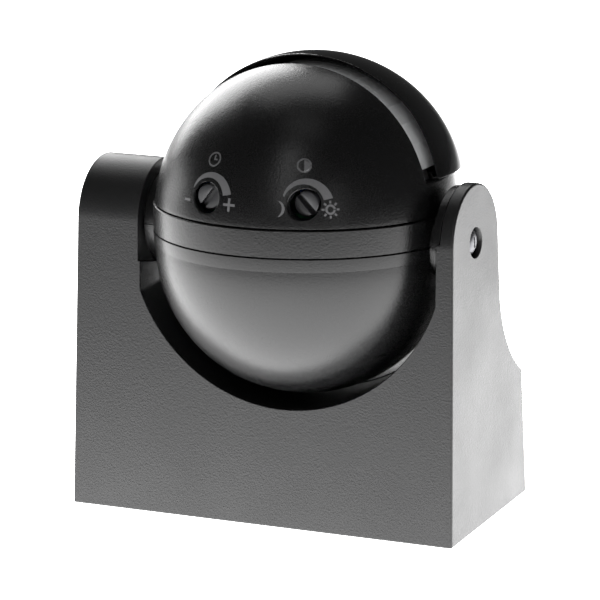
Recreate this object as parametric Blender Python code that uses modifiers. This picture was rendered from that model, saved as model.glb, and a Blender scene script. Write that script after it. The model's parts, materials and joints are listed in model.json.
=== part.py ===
"""Motion sensor: a ball-shaped detector head tilting in a wall cradle.

All sizes are in millimetres, and MM turns them into metres.  The cradle stands on its wall face at
Z = 0.  +X is to the right, +Y is the hood side (up, once the sensor hangs on a wall) and +Z points
away from the wall.  Pieces of the head are laid out in the head's own frame: its origin is the hinge
axis in the middle of the ball, and its +Z runs through the top of the dome.
"""
import math

import bmesh
import bpy
from mathutils import Matrix, Vector

MM = 0.001
GAP = 0.3                       # clearance between neighbouring pieces
SHELL_SIDES = 40                # facets round the ball's shells
BOSS_SIDES = 36                 # facets round the hinge bosses

# Cradle
CRADLE_WIDTH = 90.0             # at the wall
SIDE_DRAFT = math.radians(0.9)
FRONT_LEAN = math.radians(5.0)
WALL = 2.4
RIM_Z = 0.3                     # lower edge of the cradle, just clear of the wall
HINGE_Y = -3.1
HINGE_Z = 62.5
EAR_RADIUS = 12.5               # round top of both arms, about the hinge axis
BACK_ARC_RADIUS = 24.8          # hollow curve down the back of the arms
BACK_ARC_Z = 49.0
BACK_CORNER_Y = 20.5
BACK_FOOT_Y = 20.9
WELL_X = 5.3                    # middle of the round opening that holds the ball
WELL_Z = 63.1
WELL_RADIUS = 36.8
SOCKET_START = 4.0              # how far behind the hinge the opening starts to close in
LEFT_FACE = -28.8               # inner faces of the arms
RIGHT_FACE = 40.2
LEFT_POCKET = -29.3             # set-back faces beside the head's bosses
RIGHT_POCKET = 41.0
LEFT_POCKET_DROP = 7.3          # how far each pocket's sloping floor lies below the hinge at the front
RIGHT_POCKET_DROP = -2.2
POCKET_SLOPE = 0.25             # the floors drop this much per millimetre towards the back
SCREW_SEAT_X = 41.9
SCREW_RECESS_RADIUS = 3.25

# Head
HEAD_X = 5.0
HEAD_TILT = math.radians(-3.4)  # the head rests tipped slightly back
DOME_RADIUS = 32.6
DOME_Z = 3.65
SHELL = 2.2
BAND_RADIUS = 32.95             # widest ring of the ball
SEAM_Z = 5.8                    # dome cover meets the upper housing
PARTING_Z = -0.2                # upper housing meets the lower bowl
BOWL_RADIUS = 32.5
BOWL_Z = -3.0
RIM_TOP_RADIUS = 32.9           # the bowl's rim stands a little proud of it
RIM_STEP_RADIUS = 32.7
RIM_STEP_Z = -3.1
LEDGE_Z = 12.9                  # lower edge of the lens window
WINDOW_Y = -6.8                 # front edge of the window at the ledge
WINDOW_SLOPE = 0.115
HOOD_RADIUS = 32.6
HOOD_SHELL = 1.0
HOOD_Y = 4.0
HOOD_Z = 4.85
HOOD_RIM_Y = -1.8               # front edge of the hood at the ledge
HOOD_RIM_SLOPE = 0.175
HOOD_RIM_BEND = 27.0            # above this height the hood's rim stands upright
HOOD_OPENING_RADIUS = 25.7      # the hood's floor closes the space below the lens's ends
LENS_RADIUS = 30.4
LENS_SHEET = 0.7
LENS_HALF_ANGLE = 69.7
LENS_BACK = 11.0

# Hinge
LEFT_BOSS_END = -34.0
LEFT_BOSS_RADIUS = 10.4
RIGHT_NECK_RADIUS = 8.0
RIGHT_NECK_END = 33.9
RIGHT_BOSS_END = 35.7
RIGHT_BOSS_RADIUS = 11.8
BOSS_ROOT = 28.2
TRUNNION_RADIUS = 5.0
TRUNNION_BORE = 3.0
PIN_HOLE = 1.8
CLAMP_SHANK = 1.5

# Dials
DIAL_Z = 11.0
DIAL_HOLE_RADIUS = 3.2
DIAL_RADIUS = 2.75
DIAL_RECESS = 1.4
DIALS = {"time": {"x": -9.0, "slot": -53.0}, "lux": {"x": 12.6, "slot": 45.0}}
POT_FRONT = {"time": -22.2, "lux": -21.0}

# Electronics
BOARD = 1.6
MAIN_BOARD_Z = 6.4
MAIN_BOARD_RADIUS = 25.5
POWER_BOARD_Z = -8.5
BOWL_SCREW_SPOTS = ((-16.0, 21.7), (16.0, 21.7))
BOARD_SCREW_SPOTS = ((0.0, 22.5), (-19.5, -11.2), (19.5, -11.2))
SPACER_SPOTS = ((-14.0, 8.0), (14.0, 8.0), (0.0, -15.0))

# Connections in the cradle
POLES = (-17.0, -7.0, 3.0)
POLE_Z = 7.5
TERMINAL_LOW = (-22.0, 4.0, 2.8)
TERMINAL_HIGH = (8.0, 16.0, 13.8)
LEAD_RADIUS = 0.7
LEAD_PITCH = 1.9
LEAD_RISE_X = -39.2
GROMMET_AT = (14.0, -6.0)
KEYHOLES = (-31.0, 31.0)
PLATE = 2.5


# ---------------------------------------------------------------- scene and helpers

def clear_scene():
    for obj in list(bpy.data.objects):
        bpy.data.objects.remove(obj, do_unlink=True)


def collection(name):
    group = bpy.data.collections.new(name)
    bpy.context.scene.collection.children.link(group)
    return group


def material(name, colour, roughness, metallic=0.0, transmission=0.0):
    mat = bpy.data.materials.new(name)
    mat.use_nodes = True
    shader = mat.node_tree.nodes["Principled BSDF"]
    shader.inputs["Base Color"].default_value = (*colour, 1.0)
    shader.inputs["Roughness"].default_value = roughness
    shader.inputs["Metallic"].default_value = metallic
    shader.inputs["Transmission Weight"].default_value = transmission
    return mat


def add(name, data, frame, at, turn=(0.0, 0.0, 0.0)):
    """A new object in the cutters' collection, at a place in its frame; finish() makes it a part."""
    obj = bpy.data.objects.new(name, data)
    CUTTERS.objects.link(obj)
    obj.parent = frame
    obj.location = Vector(at) * MM
    obj.rotation_euler = turn
    obj.hide_render = True
    obj.display_type = "WIRE"
    return obj


def finish(obj, mat, sharp=35.0):
    """Moves an object into the part's collection and gives it its material and shading."""
    CUTTERS.objects.unlink(obj)
    PARTS.objects.link(obj)
    obj.hide_render = False
    obj.display_type = "TEXTURED"
    obj.data.materials.clear()
    obj.data.materials.append(mat)
    obj.data.shade_smooth()
    obj.data.set_sharp_from_angle(angle=math.radians(sharp))
    return obj


def box(name, low, high, frame=None):
    size = [b - a for a, b in zip(low, high)]
    centre = [(a + b) / 2 for a, b in zip(low, high)]
    bm = bmesh.new()
    bmesh.ops.create_cube(bm, size=1.0)
    bmesh.ops.scale(bm, vec=Vector(size) * MM, verts=bm.verts)
    mesh = bpy.data.meshes.new(name)
    bm.to_mesh(mesh)
    bm.free()
    return add(name, mesh, frame, centre)


def rod(name, start, end, radius, frame=None, sides=32, end_radius=None):
    """A cylinder, or a cone when end_radius is given, from start to end."""
    run = Vector(end) - Vector(start)
    bm = bmesh.new()
    bmesh.ops.create_cone(
        bm, cap_ends=True, segments=sides, radius1=radius * MM,
        radius2=(radius if end_radius is None else end_radius) * MM, depth=run.length * MM)
    mesh = bpy.data.meshes.new(name)
    bm.to_mesh(mesh)
    bm.free()
    turn = run.to_track_quat("Z", "Y").to_euler()
    return add(name, mesh, frame, (Vector(start) + Vector(end)) / 2, turn)


def turned(name, profile, frame=None, at=(0.0, 0.0, 0.0), turn=(0.0, 0.0, 0.0), sides=SHELL_SIDES, ring=False):
    """Spins a profile of (radius, z) points, given top to bottom down its outer side, about Z."""
    points = [(radius * MM, 0.0, z * MM) for radius, z in profile]
    edges = [(i, i + 1) for i in range(len(points) - 1)]
    if ring:
        edges.append((len(points) - 1, 0))
    mesh = bpy.data.meshes.new(name)
    mesh.from_pydata(points, edges, [])
    obj = add(name, mesh, frame, at, turn)
    spin = obj.modifiers.new("spin", "SCREW")
    spin.steps = sides
    spin.render_steps = sides
    spin.use_merge_vertices = True
    spin.merge_threshold = 0.00001
    spin.use_smooth_shade = True
    return as_mesh(obj)


def as_mesh(obj):
    """Replaces a curve or a spun profile by the welded mesh of what it shows."""
    shown = obj.evaluated_get(bpy.context.evaluated_depsgraph_get())
    mesh = bpy.data.meshes.new_from_object(shown)
    bm = bmesh.new()
    bm.from_mesh(mesh)
    bmesh.ops.remove_doubles(bm, verts=bm.verts, dist=0.000002)
    bmesh.ops.recalc_face_normals(bm, faces=bm.faces)
    bm.to_mesh(mesh)
    bm.free()
    name, frame, basis = obj.name, obj.parent, obj.matrix_basis.copy()
    bpy.data.objects.remove(obj, do_unlink=True)
    solid = add(name, mesh, frame, (0.0, 0.0, 0.0))
    solid.matrix_basis = basis
    return solid


AXIS_TURN = {
    "X": Matrix(((0, 0, 1), (1, 0, 0), (0, 1, 0))),     # the outline's u, v become Y, Z
    "Y": Matrix(((1, 0, 0), (0, 0, -1), (0, 1, 0))),    # u, v become X, Z
    "Z": Matrix.Identity(3),                            # u, v become X, Y
}


def plate(name, outline, axis, low, high, frame=None):
    """A flat outline drawn across an axis and extruded along it from low to high."""
    curve = bpy.data.curves.new(name, "CURVE")
    curve.dimensions = "2D"
    curve.fill_mode = "BOTH"
    curve.extrude = (high - low) / 2 * MM
    spline = curve.splines.new("POLY")
    spline.points.add(len(outline) - 1)
    for point, (u, v) in zip(spline.points, outline):
        point.co = (u * MM, v * MM, 0.0, 1.0)
    spline.use_cyclic_u = True
    middle = [0.0, 0.0, 0.0]
    middle["XYZ".index(axis)] = (low + high) / 2
    return as_mesh(add(name, curve, frame, middle, AXIS_TURN[axis].to_euler()))


def wire(name, points, radius, frame=None):
    curve = bpy.data.curves.new(name, "CURVE")
    curve.dimensions = "3D"
    curve.bevel_depth = radius * MM
    curve.bevel_resolution = 2
    curve.use_fill_caps = True
    spline = curve.splines.new("POLY")
    spline.points.add(len(points) - 1)
    for target, point in zip(spline.points, points):
        target.co = (*(Vector(point) * MM), 1.0)
    return as_mesh(add(name, curve, frame, (0.0, 0.0, 0.0)))


def arc(centre, radius, start, end, steps):
    """Points on a circle from start to end degrees, both ends included."""
    angles = [math.radians(start + (end - start) * i / steps) for i in range(steps + 1)]
    return [(centre[0] + radius * math.cos(a), centre[1] + radius * math.sin(a)) for a in angles]


def smooth_route(guides, steps):
    """A cubic B-spline that starts and ends on the first and last guide point."""
    ends = [guides[0]] * 2 + list(guides) + [guides[-1]] * 2
    knots = [Vector(point) for point in ends]
    route = []
    for a, b, c, d in zip(knots, knots[1:], knots[2:], knots[3:]):
        for i in range(steps):
            t = i / steps
            route.append(((1 - t) ** 3 * a + (3 * t ** 3 - 6 * t ** 2 + 4) * b
                          + (-3 * t ** 3 + 3 * t ** 2 + 3 * t + 1) * c + t ** 3 * d) / 6)
    return route + [knots[-1]]


def boolean(obj, operation, others):
    for other in others:
        mod = obj.modifiers.new(f"{operation.lower()} {other.name}", "BOOLEAN")
        mod.operation = operation
        mod.object = other
        mod.solver = "EXACT"
    return obj


def cut(obj, *others):
    return boolean(obj, "DIFFERENCE", others)


def join(obj, *others):
    return boolean(obj, "UNION", others)


def common(obj, *others):
    return boolean(obj, "INTERSECT", others)


# ---------------------------------------------------------------- cradle

def side_outline(inset, foot):
    """Side view of the cradle (Y, Z), set in by a wall thickness."""
    radius = EAR_RADIUS - inset
    lean = math.degrees(FRONT_LEAN)
    touch_y = HINGE_Y - radius * math.cos(FRONT_LEAN)
    touch_z = HINGE_Z + radius * math.sin(FRONT_LEAN)
    arc_y = HINGE_Y + EAR_RADIUS + BACK_ARC_RADIUS
    sweep = BACK_ARC_RADIUS + inset
    corner = math.degrees(math.acos((BACK_CORNER_Y - inset - arc_y) / sweep))
    outline = [(touch_y - (touch_z - foot) * math.tan(FRONT_LEAN), foot)]
    outline += arc((HINGE_Y, HINGE_Z), radius, 180.0 - lean, 0.0, 18)
    outline += arc((arc_y, BACK_ARC_Z), sweep, -180.0, -corner, 8)
    outline.append((BACK_FOOT_Y - inset, foot))
    return outline


def front_outline(inset, foot, top):
    """Front view of the cradle (X, Z), set in by a wall thickness."""
    half = [(CRADLE_WIDTH / 2 - inset - z * math.tan(SIDE_DRAFT), z) for z in (foot, top)]
    return [(-half[0][0], foot), half[0], half[1], (-half[1][0], top)]


def well_outline(grow, left, right, top=95.0):
    """Front view of the opening (X, Z): a round floor between the flat faces of the arms."""
    radius = WELL_RADIUS + grow
    start = -math.degrees(math.acos((left - WELL_X) / radius))
    end = -math.degrees(math.acos((right - WELL_X) / radius))
    return [(left, top)] + arc((WELL_X, WELL_Z), radius, start, end, 30) + [(right, top)]


def well_space():
    """The opening between the arms; low down behind the hinge it closes in as a ball-shaped socket."""
    space = plate("cradle_well", well_outline(0.0, LEFT_FACE, RIGHT_FACE), "Y", -45.0, 45.0)
    closed = box("well_back", (-60.0, HINGE_Y + SOCKET_START, -10.0), (60.0, 60.0, WELL_Z))
    ball = [(max(r, 0.0), z) for r, z in arc((0.0, 0.0), WELL_RADIUS, 90.0, -90.0, 28)]
    cut(closed, turned("well_socket", ball, at=(WELL_X, HINGE_Y, WELL_Z)))
    cut(space, closed)
    return space


def make_cradle(mats):
    housing = plate("base_housing", side_outline(0.0, RIM_Z), "X", -50.0, 50.0)
    common(housing, plate("cradle_front_view", front_outline(0.0, -1.0, 90.0), "Y", -40.0, 40.0))
    cut(housing, well_space())

    cavity = plate("cradle_cavity", side_outline(WALL, -2.0), "X", -48.0, 48.0)
    common(cavity, plate("cavity_front_view", front_outline(WALL, -3.0, 90.0), "Y", -38.0, 38.0))
    kept = well_outline(WALL, LEFT_POCKET - WALL, RIGHT_FACE + WALL)
    cut(cavity, plate("cavity_well", kept, "Y", -46.0, 46.0))
    cut(housing, cavity)

    hinge = (HINGE_Y, HINGE_Z)
    front_y = HINGE_Y - EAR_RADIUS
    for side, face, pocket, drop, boss in (
            ("left", LEFT_FACE + 1.0, LEFT_POCKET, LEFT_POCKET_DROP, LEFT_BOSS_RADIUS),
            ("right", RIGHT_FACE - 1.0, RIGHT_POCKET, RIGHT_POCKET_DROP, RIGHT_BOSS_RADIUS)):
        near, far = sorted((face, pocket))
        floor = [(y, HINGE_Z - drop - POCKET_SLOPE * (y - front_y)) for y in (-30.0, 30.0)]
        slot = plate(f"{side}_pocket", floor + [(30.0, 95.0), (-30.0, 95.0)], "X", near, far)
        ring = rod(f"{side}_pocket_round", (face, *hinge), (pocket, *hinge), boss + GAP, sides=BOSS_SIDES)
        cut(housing, slot, ring)
    bore = rod("trunnion_hole", (-40.0, *hinge), (-20.0, *hinge), TRUNNION_RADIUS + GAP, sides=28)
    pin = rod("clamp_hole", (38.0, *hinge), (50.0, *hinge), PIN_HOLE)
    recess = rod("clamp_recess", (SCREW_SEAT_X, *hinge), (50.0, *hinge), SCREW_RECESS_RADIUS, sides=40)
    cut(housing, bore, pin, recess)
    finish(housing, mats["cradle"])


def make_wall_plate(mats):
    base = box("wall_plate", (-42.1, -18.2, 0.0), (42.1, 18.1, PLATE))
    for number, x in enumerate(KEYHOLES, 1):
        mouth = rod(f"keyhole_mouth_{number}", (x, -4.0, -1.0), (x, -4.0, 5.0), 4.0, sides=24)
        slot = box(f"keyhole_slot_{number}", (x - 2.1, -4.0, -1.0), (x + 2.1, 6.0, 5.0))
        end = rod(f"keyhole_end_{number}", (x, 6.0, -1.0), (x, 6.0, 5.0), 2.1, sides=20)
        cut(base, mouth, slot, end)
    entry = rod("cable_entry", (*GROMMET_AT, -1.0), (*GROMMET_AT, 5.0), 6.5)
    rebate = rod("cable_entry_rebate", (*GROMMET_AT, -1.0), (*GROMMET_AT, 1.1), 8.4)
    cut(base, entry, rebate)
    for number, (x, y) in enumerate(((-20.0, -16.5), (20.0, -16.5), (-32.0, 16.2), (20.0, 16.2)), 1):
        hook = box(f"plate_hook_{number}", (x - 4.0, y - 0.7, PLATE - 0.5), (x + 4.0, y + 0.7, 10.0))
        join(base, hook)
    finish(base, mats["plate"])

    profile = [(0.0, 1.9), (4.6, 1.9), (5.2, 3.9), (8.0, 3.9), (8.0, PLATE + GAP), (6.2, PLATE + GAP),
               (6.2, 0.8), (7.9, 0.8), (7.9, 0.2), (4.8, 0.2), (4.2, 1.3), (0.0, 1.3)]
    finish(turned("cable_grommet", profile, at=(*GROMMET_AT, 0.0), sides=28), mats["rubber"])


def make_terminals(mats):
    body = box("terminal_body", TERMINAL_LOW, TERMINAL_HIGH)
    for number, x in enumerate(POLES, 1):
        chamber = box(f"pole_chamber_{number}", (x - 2.7, 3.0, POLE_Z - 2.7), (x + 2.7, 17.0, POLE_Z + 2.7))
        well = rod(f"pole_well_{number}", (x, 10.0, 9.0), (x, 10.0, 15.0), 2.4, sides=20)
        cut(body, chamber, well)

        cage = box(f"terminal_clamp_{number}", (x - 2.4, 6.5, POLE_Z - 2.4), (x + 2.4, 13.5, POLE_Z + 2.4))
        cut(cage, rod(f"pole_bore_{number}", (x, 5.0, POLE_Z), (x, 15.0, POLE_Z), 1.6, sides=16))
        cut(cage, rod(f"pole_thread_{number}", (x, 10.0, POLE_Z), (x, 10.0, 11.0), 1.5, sides=16))

        finish(cage, mats["brass"])

        screw = rod(f"terminal_screw_{number}", (x, 10.0, 10.4), (x, 10.0, 12.8), 2.0, sides=20)
        join(screw, rod(f"pole_shank_{number}", (x, 10.0, 8.6), (x, 10.0, 10.9), 1.2, sides=20))
        cut(screw, box(f"pole_slot_{number}", (x - 3.0, 9.65, 12.1), (x + 3.0, 10.35, 13.5)))
        finish(screw, mats["zinc"])
    finish(body, mats["terminal"])


def make_leads(mats):
    """Three insulated wires from the terminals up the left arm and through the hollow trunnion."""
    inside_head = HEAD_X - 24.0 - GAP
    for step, (name, x) in enumerate(zip(("lead_live", "lead_neutral", "lead_load"), POLES)):
        y = HINGE_Y + LEAD_PITCH * (1 - step)
        guides = [(x, 9.0, POLE_Z), (x, 5.5, POLE_Z), (x, y + 3.0, POLE_Z), (x - 0.5, y, POLE_Z),
                  (x - 5.0, y, POLE_Z), (-30.0, y, POLE_Z), (-37.5, y, 9.0), (LEAD_RISE_X, y, 16.0),
                  (LEAD_RISE_X, y, 28.0), (LEAD_RISE_X, y, 40.0), (LEAD_RISE_X, y, 52.0),
                  (LEAD_RISE_X, y, 59.5), (LEAD_RISE_X + 0.8, y, HINGE_Z), (-35.6, y, HINGE_Z),
                  (-33.0, y, HINGE_Z), (-29.0, y, HINGE_Z), (-24.0, y, HINGE_Z), (inside_head, y, HINGE_Z)]
        finish(wire(name, smooth_route(guides, 2), LEAD_RADIUS), mats[name])

    clip = box("lead_clip", (-41.0, HINGE_Y - 4.2, 34.0), (-37.3, HINGE_Y + 4.2, 38.0))
    for step in range(3):
        y = HINGE_Y + LEAD_PITCH * (1 - step)
        hole = rod(f"clip_hole_{step + 1}", (LEAD_RISE_X, y, 30.0), (LEAD_RISE_X, y, 42.0),
                   LEAD_RADIUS + GAP, sides=16)
        cut(clip, hole)
    finish(clip, mats["nylon"])


# ---------------------------------------------------------------- head shells

def sphere_profile(radius, centre_z, top_angle, end_z, steps):
    """Points down the outside of a ball, from an angle above the equator to a height."""
    low = math.degrees(math.asin((end_z - centre_z) / radius))
    return [(max(r, 0.0), z) for r, z in arc((0.0, centre_z), radius, top_angle, low, steps)]


def boss_solid(name, side, lower, head):
    """Half of a hinge boss, above or below the parting plane, still without its bore."""
    if side == "left":
        boss = rod(name, (-BOSS_ROOT, 0, 0), (LEFT_BOSS_END, 0, 0), LEFT_BOSS_RADIUS, head, BOSS_SIDES)
    else:
        disc_start = RIGHT_NECK_END + (0.7 if lower else 0.0)
        boss = rod(name, (BOSS_ROOT, 0, 0), (disc_start + 0.2, 0, 0), RIGHT_NECK_RADIUS, head, BOSS_SIDES)
        disc = rod(f"{name}_disc", (disc_start, 0, 0), (RIGHT_BOSS_END, 0, 0), RIGHT_BOSS_RADIUS, head, BOSS_SIDES)
        join(boss, disc)
    plane = PARTING_Z - GAP / 2 if lower else PARTING_Z + GAP / 2
    low, high = (plane, 40.0) if lower else (-40.0, plane)
    return cut(boss, box(f"{name}_half", (-50.0, -20.0, low), (50.0, 20.0, high), head))


def add_bosses(shell, name, lower, head):
    """Joins both bosses to a shell, then opens the trunnion bore, the clamp bore and the nut's pocket."""
    for side in ("left", "right"):
        join(shell, boss_solid(f"{name}_{side}_boss", side, lower, head))
    bore = rod(f"{name}_trunnion_bore", (-20.0, 0, 0), (-40.0, 0, 0), TRUNNION_RADIUS + GAP, head, 28)
    pin = rod(f"{name}_clamp_bore", (20.0, 0, 0), (40.0, 0, 0), PIN_HOLE, head)
    pocket = box(f"{name}_nut_pocket", (30.0, -3.5, -3.5), (33.0, 3.5, 3.5), head)
    cut(shell, bore, pin, pocket)


def make_upper_housing(mats, head):
    top = SEAM_Z - GAP / 2
    bottom = PARTING_Z + GAP / 2
    inner = BAND_RADIUS - 2.7
    profile = [(29.9, top + 1.9), (29.9, top), (BAND_RADIUS, top), (BAND_RADIUS - 0.1, bottom),
               (inner, bottom), (inner, 4.9), (22.0, 4.9), (22.0, 6.1), (28.4, 6.1), (28.4, top + 1.9)]
    ring = turned("upper_housing", profile, head, sides=SHELL_SIDES, ring=True)
    for side, x in (("left", -30.1), ("right", 20.6)):
        cut(ring, box(f"{side}_shelf_gap", (x, -8.0, 3.0), (x + 9.5, 8.0, 9.0), head))
    add_bosses(ring, "upper", False, head)
    for number, (x, y) in enumerate(BOWL_SCREW_SPOTS, 1):
        join(ring, rod(f"housing_post_{number}", (x, y, bottom + 0.1), (x, y, 5.5), 3.6, head, 24))
        cut(ring, rod(f"housing_post_hole_{number}", (x, y, -2.0), (x, y, 4.4), 1.4, head, 16))
    for number, (x, y) in enumerate(BOARD_SCREW_SPOTS, 1):
        join(ring, rod(f"board_post_{number}", (x, y, 2.0), (x, y, 5.9), 2.4, head, 20))
        cut(ring, rod(f"board_post_hole_{number}", (x, y, 0.0), (x, y, 8.0), 1.3, head, 16))
    finish(ring, mats["head"])


def make_dome_cover(mats, head):
    foot = SEAM_Z + GAP / 2
    outer = sphere_profile(DOME_RADIUS, DOME_Z, 90.0, foot, 12)
    inner = sphere_profile(DOME_RADIUS - SHELL, DOME_Z, 90.0, foot, 9)
    dome = turned("dome_cover", outer + inner[::-1], head, sides=SHELL_SIDES)
    window = [(WINDOW_Y, LEDGE_Z), (60.0, LEDGE_Z), (60.0, 50.0),
              (WINDOW_Y + WINDOW_SLOPE * (50.0 - LEDGE_Z), 50.0)]
    cut(dome, plate("lens_window", window, "X", -45.0, 45.0, head))
    inside = BOSS_ROOT - GAP
    for side, sign, radius in (("left", -1, LEFT_BOSS_RADIUS), ("right", 1, RIGHT_NECK_RADIUS)):
        ends = [(sign * inside, 0, 0), (sign * 40.0, 0, 0)]
        cut(dome, rod(f"dome_notch_{side}", *ends, radius + GAP, head, BOSS_SIDES))
    for name, dial in DIALS.items():
        hole = rod(f"{name}_hole", (dial["x"], -45.0, DIAL_Z), (dial["x"], -20.0, DIAL_Z),
                   DIAL_HOLE_RADIUS, head)
        cut(dome, hole)
    finish(dome, mats["head"])


def space_ahead(name, y, slope, head, bend=60.0):
    """A block in front of a plane that leans back up to a height and then stands upright."""
    lean = y + slope * (bend - LEDGE_Z)
    outline = [(-60.0, 0.0), (y - slope * LEDGE_Z, 0.0), (lean, bend), (lean, 61.0), (-60.0, 61.0)]
    return plate(name, outline, "X", -45.0, 45.0, head)


def make_hood(mats, head):
    foot = LEDGE_Z + GAP
    local = foot - HOOD_Z
    outer = sphere_profile(HOOD_RADIUS, 0.0, 90.0, local, 10)
    inner = sphere_profile(HOOD_RADIUS - HOOD_SHELL, 0.0, 90.0, local, 8)
    hood = turned("hood", outer + inner[::-1], head, at=(0.0, HOOD_Y, HOOD_Z), sides=SHELL_SIDES)
    floor = rod("hood_floor", (0, HOOD_Y, foot), (0, HOOD_Y, foot + 1.1), 30.8, head, BOSS_SIDES)
    cut(floor, rod("hood_floor_opening", (0, 0, 0.0), (0, 0, 30.0), HOOD_OPENING_RADIUS, head, BOSS_SIDES))
    join(hood, floor)
    for number, x in enumerate((-14.0, 14.0), 1):
        join(hood, box(f"hood_tab_{number}", (x - 2.5, 21.2, 9.5), (x + 2.5, 23.3, foot + 0.8), head))
    cut(hood, space_ahead("hood_rim_cut", HOOD_RIM_Y, HOOD_RIM_SLOPE, head, HOOD_RIM_BEND))
    finish(hood, mats["hood"])


def strip_outline(outer, inner, half_angle, steps):
    """An arch in X, Z about the lens axis, half_angle each side of the top."""
    centre = (0.0, HOOD_Z)
    over = arc(centre, outer, 90.0 - half_angle, 90.0 + half_angle, steps)
    under = arc(centre, inner, 90.0 + half_angle, 90.0 - half_angle, steps)
    return over + under


def make_lens(mats, head):
    """The lens starts behind the dome's window edge and runs back under the hood on its frame."""
    start = WINDOW_Y + GAP
    sheet = strip_outline(LENS_RADIUS, LENS_RADIUS - LENS_SHEET, LENS_HALF_ANGLE, 36)
    lens = plate("lens", sheet, "Y", start, LENS_BACK, head)
    cut(lens, space_ahead("lens_front", start, WINDOW_SLOPE, head))
    finish(lens, mats["lens"])

    outer = LENS_RADIUS - LENS_SHEET - GAP
    inner = outer - 1.4
    frame = plate("lens_frame", strip_outline(outer, inner, 72.0, 30), "Y", start, LENS_BACK + 1.5, head)
    cut(frame, box("lens_frame_window", (-23.0, -4.6, 14.0), (23.0, 9.3, 45.0), head))
    flange = strip_outline(LENS_RADIUS - 0.4, inner + 0.5, 62.5, 30)
    join(frame, plate("lens_frame_flange", flange, "Y", LENS_BACK + GAP, LENS_BACK + 1.3, head))
    clear = (-40.0, HOOD_RIM_Y - GAP, 0.0)
    cut(frame, box("lens_frame_foot_clear", clear, (40.0, 20.0, 14.7), head))

    end = HOOD_RIM_Y - GAP - 0.1
    for name, side in (("left", -1), ("right", 1)):
        xs = sorted((side * 22.9, side * 27.3))
        leg = box(f"lens_leg_{name}", (xs[0], -6.4, MAIN_BOARD_Z + BOARD + GAP), (xs[1], end, 13.6), head)
        turn = [90.0 - side * 70.4, 90.0 - side * 73.9]
        centre = (0.0, HOOD_Z)
        seat = arc(centre, LENS_RADIUS, turn[0], turn[1], 3) + arc(centre, inner, turn[1], turn[0], 3)
        join(frame, leg, plate(f"lens_seat_{name}", seat, "Y", start, end, head))
    cut(frame, space_ahead("lens_frame_front", start, WINDOW_SLOPE, head))
    finish(frame, mats["inner"])


def make_lower_bowl(mats, head):
    top = PARTING_Z - GAP / 2
    outer = [(RIM_TOP_RADIUS, top), (RIM_STEP_RADIUS, RIM_STEP_Z)]
    outer += sphere_profile(BOWL_RADIUS, 0.0, -0.2, -BOWL_RADIUS, 12)
    inner = arc((0.0, 0.0), BOWL_RADIUS - SHELL, -90.0, -2.0, 9)
    start = len(outer) - 13
    profile = outer[:start] + [(r, z + BOWL_Z) for r, z in outer[start:]]
    profile += [(max(r, 0.0), z + BOWL_Z) for r, z in inner] + [(30.2, top)]
    bowl = turned("lower_bowl", profile, head, sides=SHELL_SIDES, ring=True)
    add_bosses(bowl, "lower", True, head)
    for number, (x, y) in enumerate(BOWL_SCREW_SPOTS, 1):
        post = rod(f"bowl_post_{number}", (x, y, -30.0), (x, y, top - 0.2), 3.4, head, 24)
        buried = sphere_profile(BOWL_RADIUS - SHELL / 2, BOWL_Z, 0.0, BOWL_Z - BOWL_RADIUS + SHELL / 2, 12)
        common(post, turned(f"bowl_post_end_{number}", [(0.0, 5.0), (BOWL_RADIUS, 5.0)] + buried, head))
        join(bowl, post)
        cut(bowl, rod(f"bowl_tunnel_{number}", (x, y, -30.0), (x, y, -6.0), 2.7, head, 24))
        cut(bowl, rod(f"bowl_screw_hole_{number}", (x, y, -8.0), (x, y, 3.0), 1.4, head, 16))
    finish(bowl, mats["bowl"])


# ---------------------------------------------------------------- hinge pieces

def make_hinge_pieces(mats, head):
    along_x = (0.0, math.radians(-90.0), 0.0)       # local +Z becomes -X, out through the left arm
    profile = [(TRUNNION_BORE, 40.0), (TRUNNION_RADIUS, 40.0), (TRUNNION_RADIUS, 39.6), (4.4, 39.6),
               (4.4, 38.2), (TRUNNION_RADIUS, 38.2), (TRUNNION_RADIUS, 27.9), (7.0, 27.9),
               (7.0, 26.4), (TRUNNION_BORE, 26.4)]
    trunnion = turned("cable_trunnion", profile, head, turn=along_x, sides=28, ring=True)
    finish(trunnion, mats["nylon"])

    ring_section = [(6.0 + 0.6 * math.cos(a), 37.6 - 0.6 * math.sin(a))
                    for a in (math.radians(45.0 * i - 90.0) for i in range(8))]
    seal = turned("trunnion_o_ring", ring_section, head, turn=along_x, sides=24, ring=True)
    finish(seal, mats["rubber"])

    clip = arc((0.0, 0.0), 6.8, 20.0, 340.0, 28) + arc((0.0, 0.0), 4.75, 340.0, 20.0, 28)
    finish(plate("trunnion_circlip", clip, "X", -39.3, -38.5, head), mats["spring"])

    nut = rod("pivot_nut", (30.3, 0, 0), (32.7, 0, 0), 3.175, head, 6)
    cut(nut, rod("pivot_nut_bore", (29.0, 0, 0), (34.0, 0, 0), PIN_HOLE, head, 24))
    finish(nut, mats["brass"])

    at = (SCREW_SEAT_X + GAP, HINGE_Y, HINGE_Z)
    along_plus_x = (0.0, math.radians(90.0), 0.0)
    head_radius = SCREW_RECESS_RADIUS - GAP
    pan = [(0.0, 1.5), (1.3, 1.45), (2.1, 1.25), (2.7, 0.9), (head_radius, 0.45), (head_radius, 0.0),
           (CLAMP_SHANK, 0.0), (CLAMP_SHANK, -9.0), (1.1, -9.4), (0.0, -9.4)]
    screw = turned("clamp_screw", pan, at=at, turn=along_plus_x, sides=24)
    x = at[0]
    for name, half_y, half_z in (("a", 1.55, 0.32), ("b", 0.32, 1.55)):
        slot = box(f"clamp_cross_{name}", (x + 0.45, HINGE_Y - half_y, HINGE_Z - half_z),
                   (x + 3.0, HINGE_Y + half_y, HINGE_Z + half_z))
        cut(screw, slot)
    finish(screw, mats["zinc"])


# ---------------------------------------------------------------- electronics

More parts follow.
